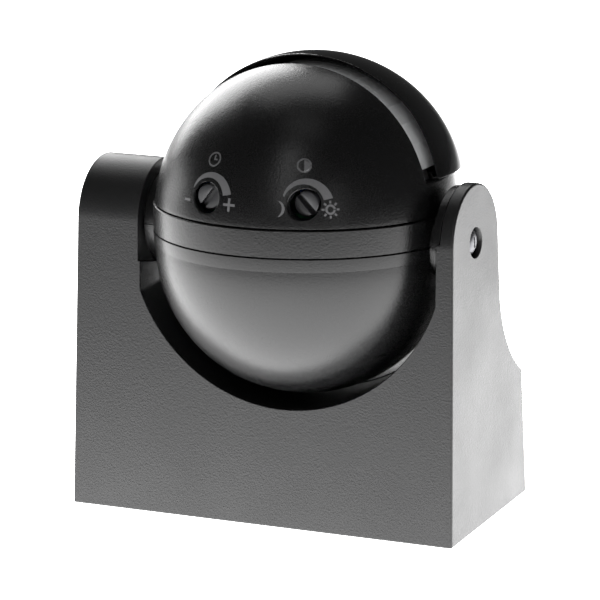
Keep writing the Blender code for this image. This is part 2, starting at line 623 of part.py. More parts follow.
def make_boards(mats, head):
    top = MAIN_BOARD_Z + BOARD
    board = rod("main_board", (0, 0, MAIN_BOARD_Z), (0, 0, top), MAIN_BOARD_RADIUS, head, 48)
    for number, (x, y) in enumerate(BOARD_SCREW_SPOTS, 1):
        cut(board, rod(f"board_hole_{number}", (x, y, 4.0), (x, y, 10.0), 1.35, head, 16))
    finish(board, mats["board"])

    low = POWER_BOARD_Z
    corners = [(-16.0, -17.0), (18.0, -17.0), (18.0, 12.0), (-16.0, 12.0)]
    finish(plate("power_board", corners, "Z", low, low + BOARD, head), mats["board"])

    for number, (x, y) in enumerate(SPACER_SPOTS, 1):
        ends = [(x, y, low + BOARD + GAP), (x, y, MAIN_BOARD_Z - GAP)]
        finish(rod(f"board_spacer_{number}", *ends, 2.0, head, 6), mats["brass"])

    header = box("board_header", (6.0, -4.0, low + BOARD + GAP), (8.6, 9.0, MAIN_BOARD_Z - GAP), head)
    finish(header, mats["terminal"])

    for number, (x, y) in enumerate(BOARD_SCREW_SPOTS, 1):
        screw = rod(f"board_screw_{number}", (x, y, top + GAP), (x, y, top + 1.5), 2.2, head, 20)
        join(screw, rod(f"board_shank_{number}", (x, y, 3.0), (x, y, top + 0.5), 1.0, head, 16))
        finish(screw, mats["zinc"])


def make_components(mats, head):
    floor = MAIN_BOARD_Z + BOARD + GAP
    can = [(0.0, 4.4), (2.2, 4.4), (2.2, 4.2), (4.2, 4.2), (4.5, 3.9), (4.5, 0.6), (4.9, 0.6), (4.9, 0.0),
           (0.0, 0.0)]
    finish(turned("pyro_sensor", can, head, at=(0.0, 1.5, floor), sides=28), mats["zinc"])
    cell = [(0.0, 2.1), (2.3, 2.1), (2.5, 1.9), (2.5, 0.0), (0.0, 0.0)]
    finish(turned("light_sensor", cell, head, at=(10.0, 3.0, floor), sides=24), mats["sensor"])
    finish(box("controller_chip", (-13.5, 4.0, floor), (-9.6, 12.6, floor + 1.5), head), mats["chip"])

    for name, dial in DIALS.items():
        front = POT_FRONT[name]
        body = box(f"{name}_pot_body", (dial["x"] - 4.5, front, floor), (dial["x"] + 4.5, front + 5.0, 15.0),
                   head)
        finish(body, mats["pot"])

    hang = POWER_BOARD_Z - GAP
    finish(box("relay", (-12.0, -12.0, hang - 15.0), (7.0, 3.4, hang), head), mats["relay"])
    finish(box("film_capacitor", (-9.0, 5.0, hang - 12.0), (9.0, 11.4, hang), head), mats["film"])
    case = [(0.0, 0.0), (3.6, 0.0), (4.0, -0.5), (4.0, -11.2), (3.5, -12.0), (0.0, -12.0)]
    finish(turned("smoothing_capacitor", case, head, at=(13.5, -6.0, hang), sides=24), mats["sleeve"])

    plug = box("lead_connector", (-24.0, -4.5, -2.5), (-18.0, 4.5, MAIN_BOARD_Z - GAP), head)
    finish(plug, mats["terminal"])

    for number, (x, y) in enumerate(BOWL_SCREW_SPOTS, 1):
        screw = rod(f"bowl_screw_{number}", (x, y, -7.9), (x, y, -6.3), 2.3, head, 24)
        join(screw, rod(f"bowl_shank_{number}", (x, y, -6.6), (x, y, 4.0), 1.1, head, 16))
        for mark, half_x, half_y in (("a", 1.3, 0.3), ("b", 0.3, 1.3)):
            cut(screw, box(f"bowl_cross_{number}{mark}", (x - half_x, y - half_y, -9.0),
                           (x + half_x, y + half_y, -7.2), head))
        finish(screw, mats["zinc"])


def make_dials(mats, head):
    """Slotted knobs, each with its origin on its own axis, sunk below the dome's surface."""
    for name, dial in DIALS.items():
        depth = math.sqrt(DOME_RADIUS ** 2 - dial["x"] ** 2 - (DIAL_Z - DOME_Z) ** 2) - DIAL_RECESS
        length = depth + POT_FRONT[name] - GAP
        profile = [(0.0, 0.0), (2.45, 0.0), (DIAL_RADIUS, -0.3), (DIAL_RADIUS, -length), (0.0, -length)]
        facing = (math.radians(90.0), math.radians(dial["slot"]), 0.0)
        knob = turned(f"{name}_dial", profile, head, at=(dial["x"], -depth, DIAL_Z), turn=facing, sides=32)
        slot = box(f"{name}_slot", (-4.0, -0.55, -1.5), (4.0, 0.55, 1.0), knob)
        cut(knob, slot)
        finish(knob, mats["dial"])


# ---------------------------------------------------------------- build

def main():
    mats = {
        "cradle": material("cradle_black", (0.035, 0.036, 0.037), 0.55),
        "head": material("head_black", (0.018, 0.018, 0.019), 0.32),
        "bowl": material("bowl_satin_black", (0.03, 0.03, 0.031), 0.42),
        "hood": material("hood_gloss_black", (0.012, 0.012, 0.013), 0.2),
        "lens": material("lens_white", (0.82, 0.83, 0.83), 0.4, transmission=0.2),
        "inner": material("inner_black", (0.04, 0.04, 0.042), 0.6),
        "plate": material("plate_black", (0.03, 0.03, 0.03), 0.65),
        "rubber": material("rubber_black", (0.015, 0.015, 0.015), 0.85),
        "terminal": material("terminal_white", (0.78, 0.77, 0.72), 0.5),
        "brass": material("brass", (0.78, 0.58, 0.28), 0.3, 1.0),
        "zinc": material("zinc_plate", (0.72, 0.73, 0.75), 0.28, 1.0),
        "spring": material("spring_steel", (0.25, 0.25, 0.27), 0.35, 1.0),
        "nylon": material("nylon_grey", (0.3, 0.3, 0.31), 0.5),
        "lead_live": material("insulation_brown", (0.17, 0.07, 0.03), 0.45),
        "lead_neutral": material("insulation_blue", (0.03, 0.12, 0.5), 0.45),
        "lead_load": material("insulation_red", (0.5, 0.03, 0.02), 0.45),
        "board": material("board_green", (0.02, 0.13, 0.05), 0.4),
        "chip": material("chip_epoxy", (0.02, 0.02, 0.022), 0.5),
        "sensor": material("sensor_cell", (0.55, 0.3, 0.12), 0.4),
        "pot": material("pot_blue", (0.05, 0.12, 0.35), 0.45),
        "dial": material("dial_grey", (0.3, 0.3, 0.31), 0.4),
        "relay": material("relay_case", (0.03, 0.09, 0.35), 0.35),
        "film": material("film_case", (0.62, 0.5, 0.1), 0.4),
        "sleeve": material("capacitor_sleeve", (0.03, 0.03, 0.05), 0.35),
    }
    head = bpy.data.objects.new("head_pivot", None)
    PARTS.objects.link(head)
    head.location = Vector((HEAD_X, HINGE_Y, HINGE_Z)) * MM
    head.rotation_euler = (HEAD_TILT, 0.0, 0.0)

    make_cradle(mats)
    make_wall_plate(mats)
    make_terminals(mats)
    make_leads(mats)
    make_upper_housing(mats, head)
    make_dome_cover(mats, head)
    make_hood(mats, head)
    make_lens(mats, head)
    make_lower_bowl(mats, head)
    make_hinge_pieces(mats, head)
    make_boards(mats, head)
    make_components(mats, head)
    make_dials(mats, head)


clear_scene()
PARTS = collection("motion_sensor")
CUTTERS = collection("cutters")
main()
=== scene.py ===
"""Looks of the motion sensor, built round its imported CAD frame.

Every shell that shows is built again here at the CAD's own sizes, with finer facets and rounded edges,
and stands for its CAD node.  The pieces inside keep their CAD shape and take a procedural material.
Shapes are laid out in millimetres, either in the row frame or in the head's own frame, whose origin is the
hinge and whose +Z runs through the top of the dome, and they are scaled to metres when they are done.
"""
import json
import math

import bmesh
import bpy
from mathutils import Matrix, Vector


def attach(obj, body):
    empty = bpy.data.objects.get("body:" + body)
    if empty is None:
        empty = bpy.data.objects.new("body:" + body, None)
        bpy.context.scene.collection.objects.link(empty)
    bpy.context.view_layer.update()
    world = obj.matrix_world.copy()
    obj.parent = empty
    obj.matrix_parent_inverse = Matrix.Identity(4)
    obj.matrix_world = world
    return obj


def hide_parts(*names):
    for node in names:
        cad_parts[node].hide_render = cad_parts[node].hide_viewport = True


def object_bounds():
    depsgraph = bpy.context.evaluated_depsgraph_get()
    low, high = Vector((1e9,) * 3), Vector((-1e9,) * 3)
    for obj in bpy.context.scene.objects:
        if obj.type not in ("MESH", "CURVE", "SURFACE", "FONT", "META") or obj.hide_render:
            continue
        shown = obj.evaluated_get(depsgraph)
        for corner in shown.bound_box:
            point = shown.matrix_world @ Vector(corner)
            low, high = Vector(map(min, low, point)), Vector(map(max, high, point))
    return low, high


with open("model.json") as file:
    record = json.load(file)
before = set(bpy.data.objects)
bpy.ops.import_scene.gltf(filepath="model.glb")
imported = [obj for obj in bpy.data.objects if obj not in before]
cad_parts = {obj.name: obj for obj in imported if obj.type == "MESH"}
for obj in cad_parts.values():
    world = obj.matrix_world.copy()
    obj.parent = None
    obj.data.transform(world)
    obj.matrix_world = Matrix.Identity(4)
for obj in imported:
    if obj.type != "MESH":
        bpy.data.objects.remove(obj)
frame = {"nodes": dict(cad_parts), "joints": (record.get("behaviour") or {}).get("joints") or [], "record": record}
cad_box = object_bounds()

MM = 0.001
JOINTS = {joint["name"]: joint for joint in frame["joints"]}
HINGE = Vector(JOINTS["head_tilt"]["pos_m"]) / MM
DIAL_AXIS = Vector(JOINTS["time_dial_turn"]["axis"])
HEAD_TILT = -math.atan2(DIAL_AXIS.z, -DIAL_AXIS.y)
HEAD = Matrix.Translation(HINGE) @ Matrix.Rotation(HEAD_TILT, 4, "X")
ROW = Matrix.Identity(4)

GAP = 0.3                       # clearance between neighbouring pieces
SEAM = 0.2                      # visible width of the seams in the head, their edges moulded slightly full
BALL_SIDES = 192                # facets round the ball's shells
ROUND_SIDES = 96                # facets round bosses, bores and arcs
SHARP_ANGLE = math.radians(50.0)

# Cradle
CRADLE_WIDTH = (cad_box[1].x - cad_box[0].x) / MM
SIDE_DRAFT = math.radians(0.9)
FRONT_LEAN = math.radians(5.0)
WALL = 2.4
RIM_Z = 0.3
HINGE_Y, HINGE_Z = HINGE.y, HINGE.z
EAR_RADIUS = 12.5
BACK_ARC_RADIUS = 24.8
BACK_ARC_Z = 49.0
BACK_CORNER_Y = 20.5
BACK_FOOT_Y = 20.9
WELL_X = 5.3
WELL_Z = 63.1
WELL_RADIUS = 36.8
SOCKET_START = 4.0              # the well is closed from here back, along Y from the hinge
SOCKET_FRONT = 1.0              # the socket's ball is cut from here back
SOCKET_CLEAR = 0.05             # between the ball and the arms' flat faces
LEFT_FACE = -28.8
RIGHT_FACE = 40.2
LEFT_POCKET = -29.3
RIGHT_POCKET = 41.0
LEFT_POCKET_DROP = 7.3
RIGHT_POCKET_DROP = -2.2
POCKET_SLOPE = 0.25
SCREW_SEAT_X = 41.9
SCREW_RECESS_RADIUS = 3.25
CRADLE_EDGE = 0.45              # rounding of the cradle's outer edges
INNER_EDGE = 0.18               # rounding where the well and pockets are cut

# Head
DOME_RADIUS = 32.6
DOME_Z = 3.65
SHELL = 2.2
BAND_RADIUS = 32.95
BAND_WALL = 2.7
SPIGOT_OUTSIDE = 29.9           # ring on the band that stands up inside the dome
SPIGOT_INSIDE = 28.4
SPIGOT_HEIGHT = 1.9
SHELF_RADIUS = 22.0             # inner edge of the shelf with the board's screw posts
SHELF_LOW_Z = 4.9
SHELF_HIGH_Z = 6.1
SEAM_Z = 5.8
PARTING_Z = -0.2
BOWL_RADIUS = 32.5
BOWL_Z = -3.0
RIM_TOP_RADIUS = 32.9
RIM_STEP_RADIUS = 32.7
RIM_STEP_Z = -3.1
LEDGE_Z = 12.9
WINDOW_Y = -6.8
WINDOW_SLOPE = 0.115
HOOD_RADIUS = 32.6
HOOD_SHELL = 1.0
HOOD_Y = 4.0
HOOD_Z = 4.85
HOOD_RIM_Y = -1.8
HOOD_RIM_SLOPE = 0.175
HOOD_RIM_BEND = 27.0
HOOD_LIP = 0.3                  # the shell thins to this at its rim
LIP_START = 0.5                 # where the thinning starts, along Y from the hood's centre
LIP_DEPTHS = (-3.0, -4.0, -5.0, -6.0, -7.5)     # stations along Y that shape it, the last one past the rim
LIP_CUTTER_WALL = 0.6
HOOD_FLOOR = 1.1                # thickness of the ring that the hood stands on
HOOD_FLOOR_RADIUS = 30.8
TAB_X = 14.0                    # two tabs reach down under the hood, towards the back
TAB_HALF_WIDTH = 2.5
TAB_FRONT_Y = 21.2
TAB_BACK_Y = 23.3
TAB_LOW_Z = 9.5
HOOD_OPENING_RADIUS = 25.7
LENS_RADIUS = 30.4
LENS_SHEET = 0.7
LENS_HALF_ANGLE = 69.7
LENS_BACK = 11.0
SHELL_EDGE = 0.2                # rounding of the head's moulded edges
LEFT_BOSS_END = -34.0
LEFT_BOSS_RADIUS = 10.4
RIGHT_NECK_RADIUS = 8.0
RIGHT_NECK_END = 33.9
RIGHT_BOSS_END = 35.7
RIGHT_BOSS_RADIUS = 11.8
BOSS_ROOT = 28.2
TRUNNION_RADIUS = 5.0
PIN_HOLE = 1.8
CLAMP_SHANK = 1.5
BOWL_SCREW_SPOTS = ((-16.0, 21.7), (16.0, 21.7))
BOARD_SCREW_SPOTS = ((0.0, 22.5), (-19.5, -11.2), (19.5, -11.2))

# Dials
DIAL_Z = 11.0
DIAL_HOLE_RADIUS = 3.2
DIAL_RADIUS = 2.75
DIAL_RECESS = 1.4
DIALS = {"time": {"x": -9.0, "slot": -53.0, "pot": -22.2}, "lux": {"x": 12.6, "slot": 45.0, "pot": -21.0}}


# ---------------------------------------------------------------- mesh helpers, in millimetres

def add(name, bm):
    """Turns a bmesh into a linked object, with its faces pointing out."""
    bmesh.ops.recalc_face_normals(bm, faces=bm.faces)
    mesh = bpy.data.meshes.new(name)
    bm.to_mesh(mesh)
    bm.free()
    obj = bpy.data.objects.new(name, mesh)
    bpy.context.scene.collection.objects.link(obj)
    return obj


def box(low, high, name="box"):
    bm = bmesh.new()
    bmesh.ops.create_cube(bm, size=1.0)
    size = [b - a for a, b in zip(low, high)]
    centre = [(a + b) / 2 for a, b in zip(low, high)]
    bmesh.ops.scale(bm, vec=size, verts=bm.verts)
    bmesh.ops.translate(bm, vec=centre, verts=bm.verts)
    return add(name, bm)


def rod(start, end, radius, sides=ROUND_SIDES, name="rod"):
    run = Vector(end) - Vector(start)
    bm = bmesh.new()
    bmesh.ops.create_cone(bm, cap_ends=True, segments=sides, radius1=radius, radius2=radius,
                          depth=run.length)
    turn = run.to_track_quat("Z", "Y").to_matrix().to_4x4()
    bm.transform(Matrix.Translation((Vector(start) + Vector(end)) / 2) @ turn)
    return add(name, bm)


def turned(profile, place=ROW, sides=BALL_SIDES, name="turned"):
    """Spins a profile of (radius, z) points about Z; an end that isn't on the axis joins the other end."""
    bm = bmesh.new()
    rings = []
    for radius, z in profile:
        count = 1 if radius < 1e-6 else sides
        steps = [2 * math.pi * i / sides for i in range(count)]
        rings.append([bm.verts.new((radius * math.cos(a), radius * math.sin(a), z)) for a in steps])
    pairs = list(zip(rings, rings[1:]))
    if len(rings[0]) > 1 and len(rings[-1]) > 1:
        pairs.append((rings[-1], rings[0]))
    for upper, lower in pairs:
        for i in range(sides):
            j = (i + 1) % sides
            corners = [upper[i % len(upper)], upper[j % len(upper)],
                       lower[j % len(lower)], lower[i % len(lower)]]
            unique = list(dict.fromkeys(corners))
            if len(unique) > 2:
                bm.faces.new(unique)
    bm.transform(place)
    return add(name, bm)


AXIS_TURN = {
    "X": Matrix(((0, 0, 1), (1, 0, 0), (0, 1, 0))).to_4x4(),     # the outline's u, v become Y, Z
    "Y": Matrix(((1, 0, 0), (0, 0, -1), (0, 1, 0))).to_4x4(),    # u, v become X, Z
}


def plate(outline, axis, low, high, name="plate"):
    """A flat outline drawn across an axis and extruded along it from low to high."""
    if axis == "Y":
        low, high = -high, -low
    bm = bmesh.new()
    face = bm.faces.new([bm.verts.new((u, v, low)) for u, v in outline])
    top = bmesh.ops.extrude_face_region(bm, geom=[face])["geom"]
    moved = [item for item in top if isinstance(item, bmesh.types.BMVert)]
    bmesh.ops.translate(bm, vec=(0.0, 0.0, high - low), verts=moved)
    bm.transform(AXIS_TURN[axis])
    return add(name, bm)


def arc(centre, radius, start, end, steps):
    """Points on a circle from start to end degrees, both ends included."""
    angles = [math.radians(start + (end - start) * i / steps) for i in range(steps + 1)]
    return [(centre[0] + radius * math.cos(a), centre[1] + radius * math.sin(a)) for a in angles]


def combine(obj, operation, others):
    for other in others:
        mod = obj.modifiers.new(operation.lower(), "BOOLEAN")
        mod.operation = operation
        mod.object = other
        mod.solver = "EXACT"
    return settle(obj, others)


def cut(obj, *others):
    return combine(obj, "DIFFERENCE", others)


def join(obj, *others):
    return combine(obj, "UNION", others)


def common(obj, *others):
    return combine(obj, "INTERSECT", others)


def settle(obj, used=()):
    """Applies an object's modifiers, removes what they used and welds slivers away."""
    shown = obj.evaluated_get(bpy.context.evaluated_depsgraph_get())
    mesh = bpy.data.meshes.new_from_object(shown)
    obj.modifiers.clear()
    obj.data = mesh
    for other in used:
        bpy.data.objects.remove(other, do_unlink=True)
    bm = bmesh.new()
    bm.from_mesh(mesh)
    bmesh.ops.remove_doubles(bm, verts=bm.verts, dist=0.004)
    bmesh.ops.dissolve_degenerate(bm, edges=bm.edges, dist=0.002)
    bm.to_mesh(mesh)
    bm.free()
    return obj


def rounded(obj, width, segments=3, angle=32.0, weld=0.03):
    """Rounds every edge sharper than an angle."""
    bm = bmesh.new()
    bm.from_mesh(obj.data)
    bmesh.ops.remove_doubles(bm, verts=bm.verts, dist=weld)
    bmesh.ops.dissolve_degenerate(bm, edges=bm.edges, dist=weld / 2)
    bm.to_mesh(obj.data)
    bm.free()
    mod = obj.modifiers.new("edges", "BEVEL")
    mod.width = width
    mod.segments = segments
    mod.limit_method = "ANGLE"
    mod.angle_limit = math.radians(angle)
    mod.use_clamp_overlap = False
    mod.miter_outer = "MITER_ARC"
    return settle(obj)


def finish_piece(obj, name, place, body, mat, nodes=()):
    """Scales a finished shape to metres in its place, shades it, and hands it to its body."""
    obj.name = name
    obj.data.name = name
    obj.data.transform(Matrix.Scale(MM, 4) @ place)
    obj.data.shade_smooth()
    obj.data.set_sharp_from_angle(angle=SHARP_ANGLE)
    weights = obj.modifiers.new("face weights", "WEIGHTED_NORMAL")
    weights.mode = "FACE_AREA"
    weights.keep_sharp = True
    obj.data.materials.clear()
    obj.data.materials.append(mat)
    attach(obj, body)
    if nodes:
        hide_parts(*nodes)
    return obj


# ---------------------------------------------------------------- materials

def new_material(name):
    mat = bpy.data.materials.new(name)
    mat.use_nodes = True
    return mat, mat.node_tree.nodes, mat.node_tree.links, mat.node_tree.nodes["Principled BSDF"]


def node(nodes, kind, **settings):
    made = nodes.new(kind)
    for key, value in settings.items():
        if isinstance(value, dict):
            for socket, number in value.items():
                made.inputs[socket].default_value = number
        else:
            setattr(made, key, value)
    return made


def noise(nodes, links, place, scale, detail=3.0, roughness=0.5):
    """Noise whose features are 1 / scale metres across."""
    made = node(nodes, "ShaderNodeTexNoise",
                inputs={"Scale": scale, "Detail": detail, "Roughness": roughness})
    links.new(place, made.inputs["Vector"])
    return made.outputs["Fac"]


def spread(nodes, links, value, low, high, start=0.3, end=0.7):
    """Maps the middle of a noise onto a range."""
    made = node(nodes, "ShaderNodeMapRange",
                inputs={"From Min": start, "From Max": end, "To Min": low, "To Max": high})
    links.new(value, made.inputs["Value"])
    return made.outputs["Result"]


def tint(nodes, links, factor, first, second):
    made = node(nodes, "ShaderNodeMix", data_type="RGBA")
    ends = [socket for socket in made.inputs if socket.type == "RGBA"]
    for socket, colour in zip(ends, (first, second)):
        socket.default_value = (*colour, 1.0)
    links.new(factor, made.inputs[0])
    return next(socket for socket in made.outputs if socket.type == "RGBA")


def combine_values(nodes, links, operation, first, second):
    made = node(nodes, "ShaderNodeMath", operation=operation)
    for socket, value in zip(made.inputs, (first, second)):
        if isinstance(value, (int, float)):
            socket.default_value = value
        else:
            links.new(value, socket)
    return made.outputs["Value"]


def moulded(name, colour, roughness, grain=0.0, grain_size=0.9, fine=0.0, smudge=0.05, wear_and_edge_highlight=0.0,
            coat=0.0, specular=0.5):
    """Moulded plastic: eroded grain and fine texture as bump, handling marks in the roughness, and edges made
    smoother and slightly paler, which is partly real rubbed wear and partly a painted highlight standing in for
    rounded edges catching light."""
    mat, nodes, links, shader = new_material(name)
    place = node(nodes, "ShaderNodeTexCoord").outputs["Object"]
    handling = noise(nodes, links, place, 45.0, 4.0, 0.6)
    speckle = noise(nodes, links, place, 1.0 / (grain_size * 0.35 * MM), 2.0)
    rough = spread(nodes, links, handling, roughness - smudge, roughness + smudge)
    rough = combine_values(nodes, links, "ADD", rough, spread(nodes, links, speckle, -0.03, 0.03))
    paler = tuple(min(1.0, c * 1.5 + 0.004) for c in colour)
    shade = spread(nodes, links, speckle, 0.0, 0.35)
    # Edges get lower roughness and a paler colour: partly real rubbed wear, partly a painted edge highlight in
    # place of rounded edges catching light.
    if wear_and_edge_highlight:
        shape = node(nodes, "ShaderNodeNewGeometry")
        soft = node(nodes, "ShaderNodeBevel", samples=4, inputs={"Radius": 0.7 * MM})
        turn = node(nodes, "ShaderNodeVectorMath", operation="DOT_PRODUCT")
        links.new(shape.outputs["Normal"], turn.inputs[0])
        links.new(soft.outputs["Normal"], turn.inputs[1])
        edge = spread(nodes, links, turn.outputs["Value"], 1.0, 0.0, 0.8, 0.99)
        patchy_wear_and_edge_highlight = combine_values(nodes, links, "MULTIPLY", edge, spread(nodes, links, handling, 0.2, 1.0))
        rough = combine_values(nodes, links, "SUBTRACT", rough,
                               combine_values(nodes, links, "MULTIPLY", patchy_wear_and_edge_highlight, wear_and_edge_highlight * 0.2))
        shade = combine_values(nodes, links, "MAXIMUM", shade,
                               combine_values(nodes, links, "MULTIPLY", patchy_wear_and_edge_highlight, wear_and_edge_highlight))
    links.new(tint(nodes, links, shade, colour, paler), shader.inputs["Base Color"])
    links.new(rough, shader.inputs["Roughness"])
    shader.inputs["Specular IOR Level"].default_value = specular
    shader.inputs["Coat Weight"].default_value = coat
    shader.inputs["Coat Roughness"].default_value = 0.08
    bump = None
    for depth, size, detail in ((grain, grain_size, 2.0), (fine, 0.22, 3.0)):
        if depth:
            height = noise(nodes, links, place, 1.0 / (size * MM), detail, 0.55)
            layer = node(nodes, "ShaderNodeBump", inputs={"Strength": 1.0, "Distance": depth * MM})
            links.new(height, layer.inputs["Height"])
            if bump:
                links.new(bump, layer.inputs["Normal"])
            bump = layer.outputs["Normal"]
    if bump:
        links.new(bump, shader.inputs["Normal"])
    return mat


def metal(name, colour, roughness, brushed=0.0):
    """Plated or turned metal, with a cloudy plating and fine tool marks."""
    mat, nodes, links, shader = new_material(name)
    place = node(nodes, "ShaderNodeTexCoord").outputs["Object"]
    cloud = noise(nodes, links, place, 400.0, 4.0, 0.6)
    scratch = noise(nodes, links, place, 4500.0, 3.0, 0.6)
    dull = tuple(c * 0.72 for c in colour)
    plating = tint(nodes, links, spread(nodes, links, cloud, 0.0, 1.0), colour, dull)
    links.new(plating, shader.inputs["Base Color"])
    rough = spread(nodes, links, cloud, roughness - 0.06, roughness + 0.1)
    rough = combine_values(nodes, links, "ADD", rough, spread(nodes, links, scratch, -0.05, 0.05 + brushed))
    links.new(rough, shader.inputs["Roughness"])
    shader.inputs["Metallic"].default_value = 1.0
    bump = node(nodes, "ShaderNodeBump", inputs={"Strength": 0.6, "Distance": 0.006 * MM})
    links.new(scratch, bump.inputs["Height"])
    links.new(bump.outputs["Normal"], shader.inputs["Normal"])
    return mat


def lens_material():
    """Milky polyethylene: pale, slightly translucent, with a faint ripple."""
    mat, nodes, links, shader = new_material("milky_lens")
    place = node(nodes, "ShaderNodeTexCoord").outputs["Object"]
    cloud = noise(nodes, links, place, 220.0, 3.0)
    cloudy = spread(nodes, links, cloud, 0.0, 1.0)
    links.new(tint(nodes, links, cloudy, (0.8, 0.81, 0.82), (0.68, 0.69, 0.7)), shader.inputs["Base Color"])
    links.new(spread(nodes, links, cloud, 0.12, 0.2), shader.inputs["Roughness"])
    shader.inputs["Subsurface Weight"].default_value = 0.7
    shader.inputs["Subsurface Radius"].default_value = (1.0, 1.0, 1.0)
    shader.inputs["Subsurface Scale"].default_value = 1.6 * MM
    ripple = noise(nodes, links, place, 900.0, 2.0)
    bump = node(nodes, "ShaderNodeBump", inputs={"Strength": 0.5, "Distance": 0.01 * MM})
    links.new(ripple, bump.inputs["Height"])
    links.new(bump.outputs["Normal"], shader.inputs["Normal"])
    return mat


def board_material():
    """Green solder mask over a faint pattern of tracks."""
    mat, nodes, links, shader = new_material("solder_mask")
    place = node(nodes, "ShaderNodeTexCoord").outputs["Object"]
    cells = node(nodes, "ShaderNodeTexVoronoi", distance="MANHATTAN", inputs={"Scale": 350.0})
    links.new(place, cells.inputs["Vector"])
    tracks = spread(nodes, links, cells.outputs["Distance"], 0.0, 1.0, 0.25, 0.3)
    mask = tint(nodes, links, tracks, (0.015, 0.09, 0.035), (0.02, 0.15, 0.06))
    links.new(mask, shader.inputs["Base Color"])
    dull = spread(nodes, links, noise(nodes, links, place, 300.0), 0.25, 0.4)
    links.new(dull, shader.inputs["Roughness"])
    bump = node(nodes, "ShaderNodeBump", inputs={"Strength": 0.5, "Distance": 0.03 * MM})
    links.new(tracks, bump.inputs["Height"])
    links.new(bump.outputs["Normal"], shader.inputs["Normal"])
    return mat


def make_materials():
    black = (0.004, 0.004, 0.0042)
    return {
        "cradle": moulded("cradle_black", (0.008, 0.008, 0.0083), 0.36,
                          grain=0.055, grain_size=0.4, fine=0.018, wear_and_edge_highlight=0.4),
        "head": moulded("head_black", black, 0.26,
                        grain=0.05, grain_size=0.42, fine=0.009, smudge=0.04, wear_and_edge_highlight=0.4),
        "bowl": moulded("bowl_satin_black", black, 0.27,
                        grain=0.03, grain_size=0.36, fine=0.01, smudge=0.03, wear_and_edge_highlight=0.4),
        "hood": moulded("hood_gloss_black", (0.003, 0.003, 0.0032), 0.13,
                        grain=0.004, fine=0.001, smudge=0.03, wear_and_edge_highlight=0.3),
        "lens": lens_material(),
        "inner": moulded("inner_black", black, 0.55, grain=0.02, fine=0.004),
        "plate": moulded("plate_black", black, 0.6, grain=0.04, fine=0.006),
        "rubber": moulded("rubber_black", (0.012, 0.012, 0.012), 0.8, fine=0.02, specular=0.3),
        "terminal": moulded("terminal_white", (0.72, 0.71, 0.66), 0.5, fine=0.01),
        "brass": metal("brass", (0.78, 0.58, 0.28), 0.3),
        "zinc": metal("dark_zinc_plate", (0.14, 0.14, 0.15), 0.3),
        "spring": metal("spring_steel", (0.22, 0.22, 0.24), 0.35),
        "nylon": moulded("nylon_grey", (0.3, 0.3, 0.31), 0.5, fine=0.01),
        "lead_live": moulded("insulation_brown", (0.17, 0.07, 0.03), 0.45, fine=0.006),
        "lead_neutral": moulded("insulation_blue", (0.03, 0.12, 0.5), 0.45, fine=0.006),
        "lead_load": moulded("insulation_red", (0.5, 0.03, 0.02), 0.45, fine=0.006),
        "board": board_material(),
        "chip": moulded("chip_epoxy", (0.02, 0.02, 0.022), 0.5, fine=0.01),
        "sensor": moulded("sensor_cell", (0.55, 0.3, 0.12), 0.4, fine=0.006),
        "pot": moulded("pot_blue", (0.05, 0.12, 0.35), 0.45, fine=0.01),
        "dial": moulded("dial_dark_grey", (0.025, 0.025, 0.027), 0.3,
                        grain=0.01, grain_size=0.4, fine=0.004, wear_and_edge_highlight=0.5),
        "relay": moulded("relay_case", (0.03, 0.09, 0.35), 0.35, fine=0.005),
        "film": moulded("film_case", (0.62, 0.5, 0.1), 0.4, fine=0.008),
        "sleeve": moulded("capacitor_sleeve", (0.03, 0.03, 0.05), 0.35, fine=0.004),
        "print": moulded("marking_ink", (0.1, 0.1, 0.103), 0.5, fine=0.006),
    }


# ---------------------------------------------------------------- cradle

def side_outline(inset, foot):
    """Side view of the cradle (Y, Z), set in by a wall thickness."""
    radius = EAR_RADIUS - inset
    lean = math.degrees(FRONT_LEAN)
    touch_y = HINGE_Y - radius * math.cos(FRONT_LEAN)
    touch_z = HINGE_Z + radius * math.sin(FRONT_LEAN)
    arc_y = HINGE_Y + EAR_RADIUS + BACK_ARC_RADIUS
    sweep = BACK_ARC_RADIUS + inset
    corner = math.degrees(math.acos((BACK_CORNER_Y - inset - arc_y) / sweep))
    outline = [(touch_y - (touch_z - foot) * math.tan(FRONT_LEAN), foot)]
    outline += arc((HINGE_Y, HINGE_Z), radius, 180.0 - lean, 0.0, ROUND_SIDES // 2)
    outline += arc((arc_y, BACK_ARC_Z), sweep, -180.0, -corner, ROUND_SIDES // 4)[1:]
    outline.append((BACK_FOOT_Y - inset, foot))
    return outline


def front_outline(inset, foot, top):
    """Front view of the cradle (X, Z), set in by a wall thickness."""
    half = [(CRADLE_WIDTH / 2 - inset - z * math.tan(SIDE_DRAFT), z) for z in (foot, top)]
    return [(-half[0][0], foot), half[0], half[1], (-half[1][0], top)]


def well_outline(grow, left, right, top=95.0):
    """Front view of the opening (X, Z): a round floor between the flat faces of the arms."""
    radius = WELL_RADIUS + grow
    start = -math.degrees(math.acos((left - WELL_X) / radius))
    end = -math.degrees(math.acos((right - WELL_X) / radius))
    return [(left, top)] + arc((WELL_X, WELL_Z), radius, start, end, ROUND_SIDES) + [(right, top)]


def well_space():
    """The opening between the arms, without the socket that closes it low down behind the hinge."""
    space = plate(well_outline(0.0, LEFT_FACE, RIGHT_FACE), "Y", -45.0, 45.0)
    cut(space, box((-60.0, HINGE_Y + SOCKET_START, -10.0), (60.0, 60.0, WELL_Z)))
    return space


def socket_space():
    """The ball-shaped end of the opening, just clear of the flat faces of the arms."""
    ball = [(max(r, 0.0), z) for r, z in arc((0.0, 0.0), WELL_RADIUS, 90.0, -90.0, 72)]
    socket = turned(ball, Matrix.Translation((WELL_X, HINGE_Y, WELL_Z)), 144, "well_socket")
    common(socket, box((LEFT_FACE + SOCKET_CLEAR, HINGE_Y + SOCKET_FRONT, 0.0),
                       (RIGHT_FACE - SOCKET_CLEAR, 60.0, 110.0)))
    return socket


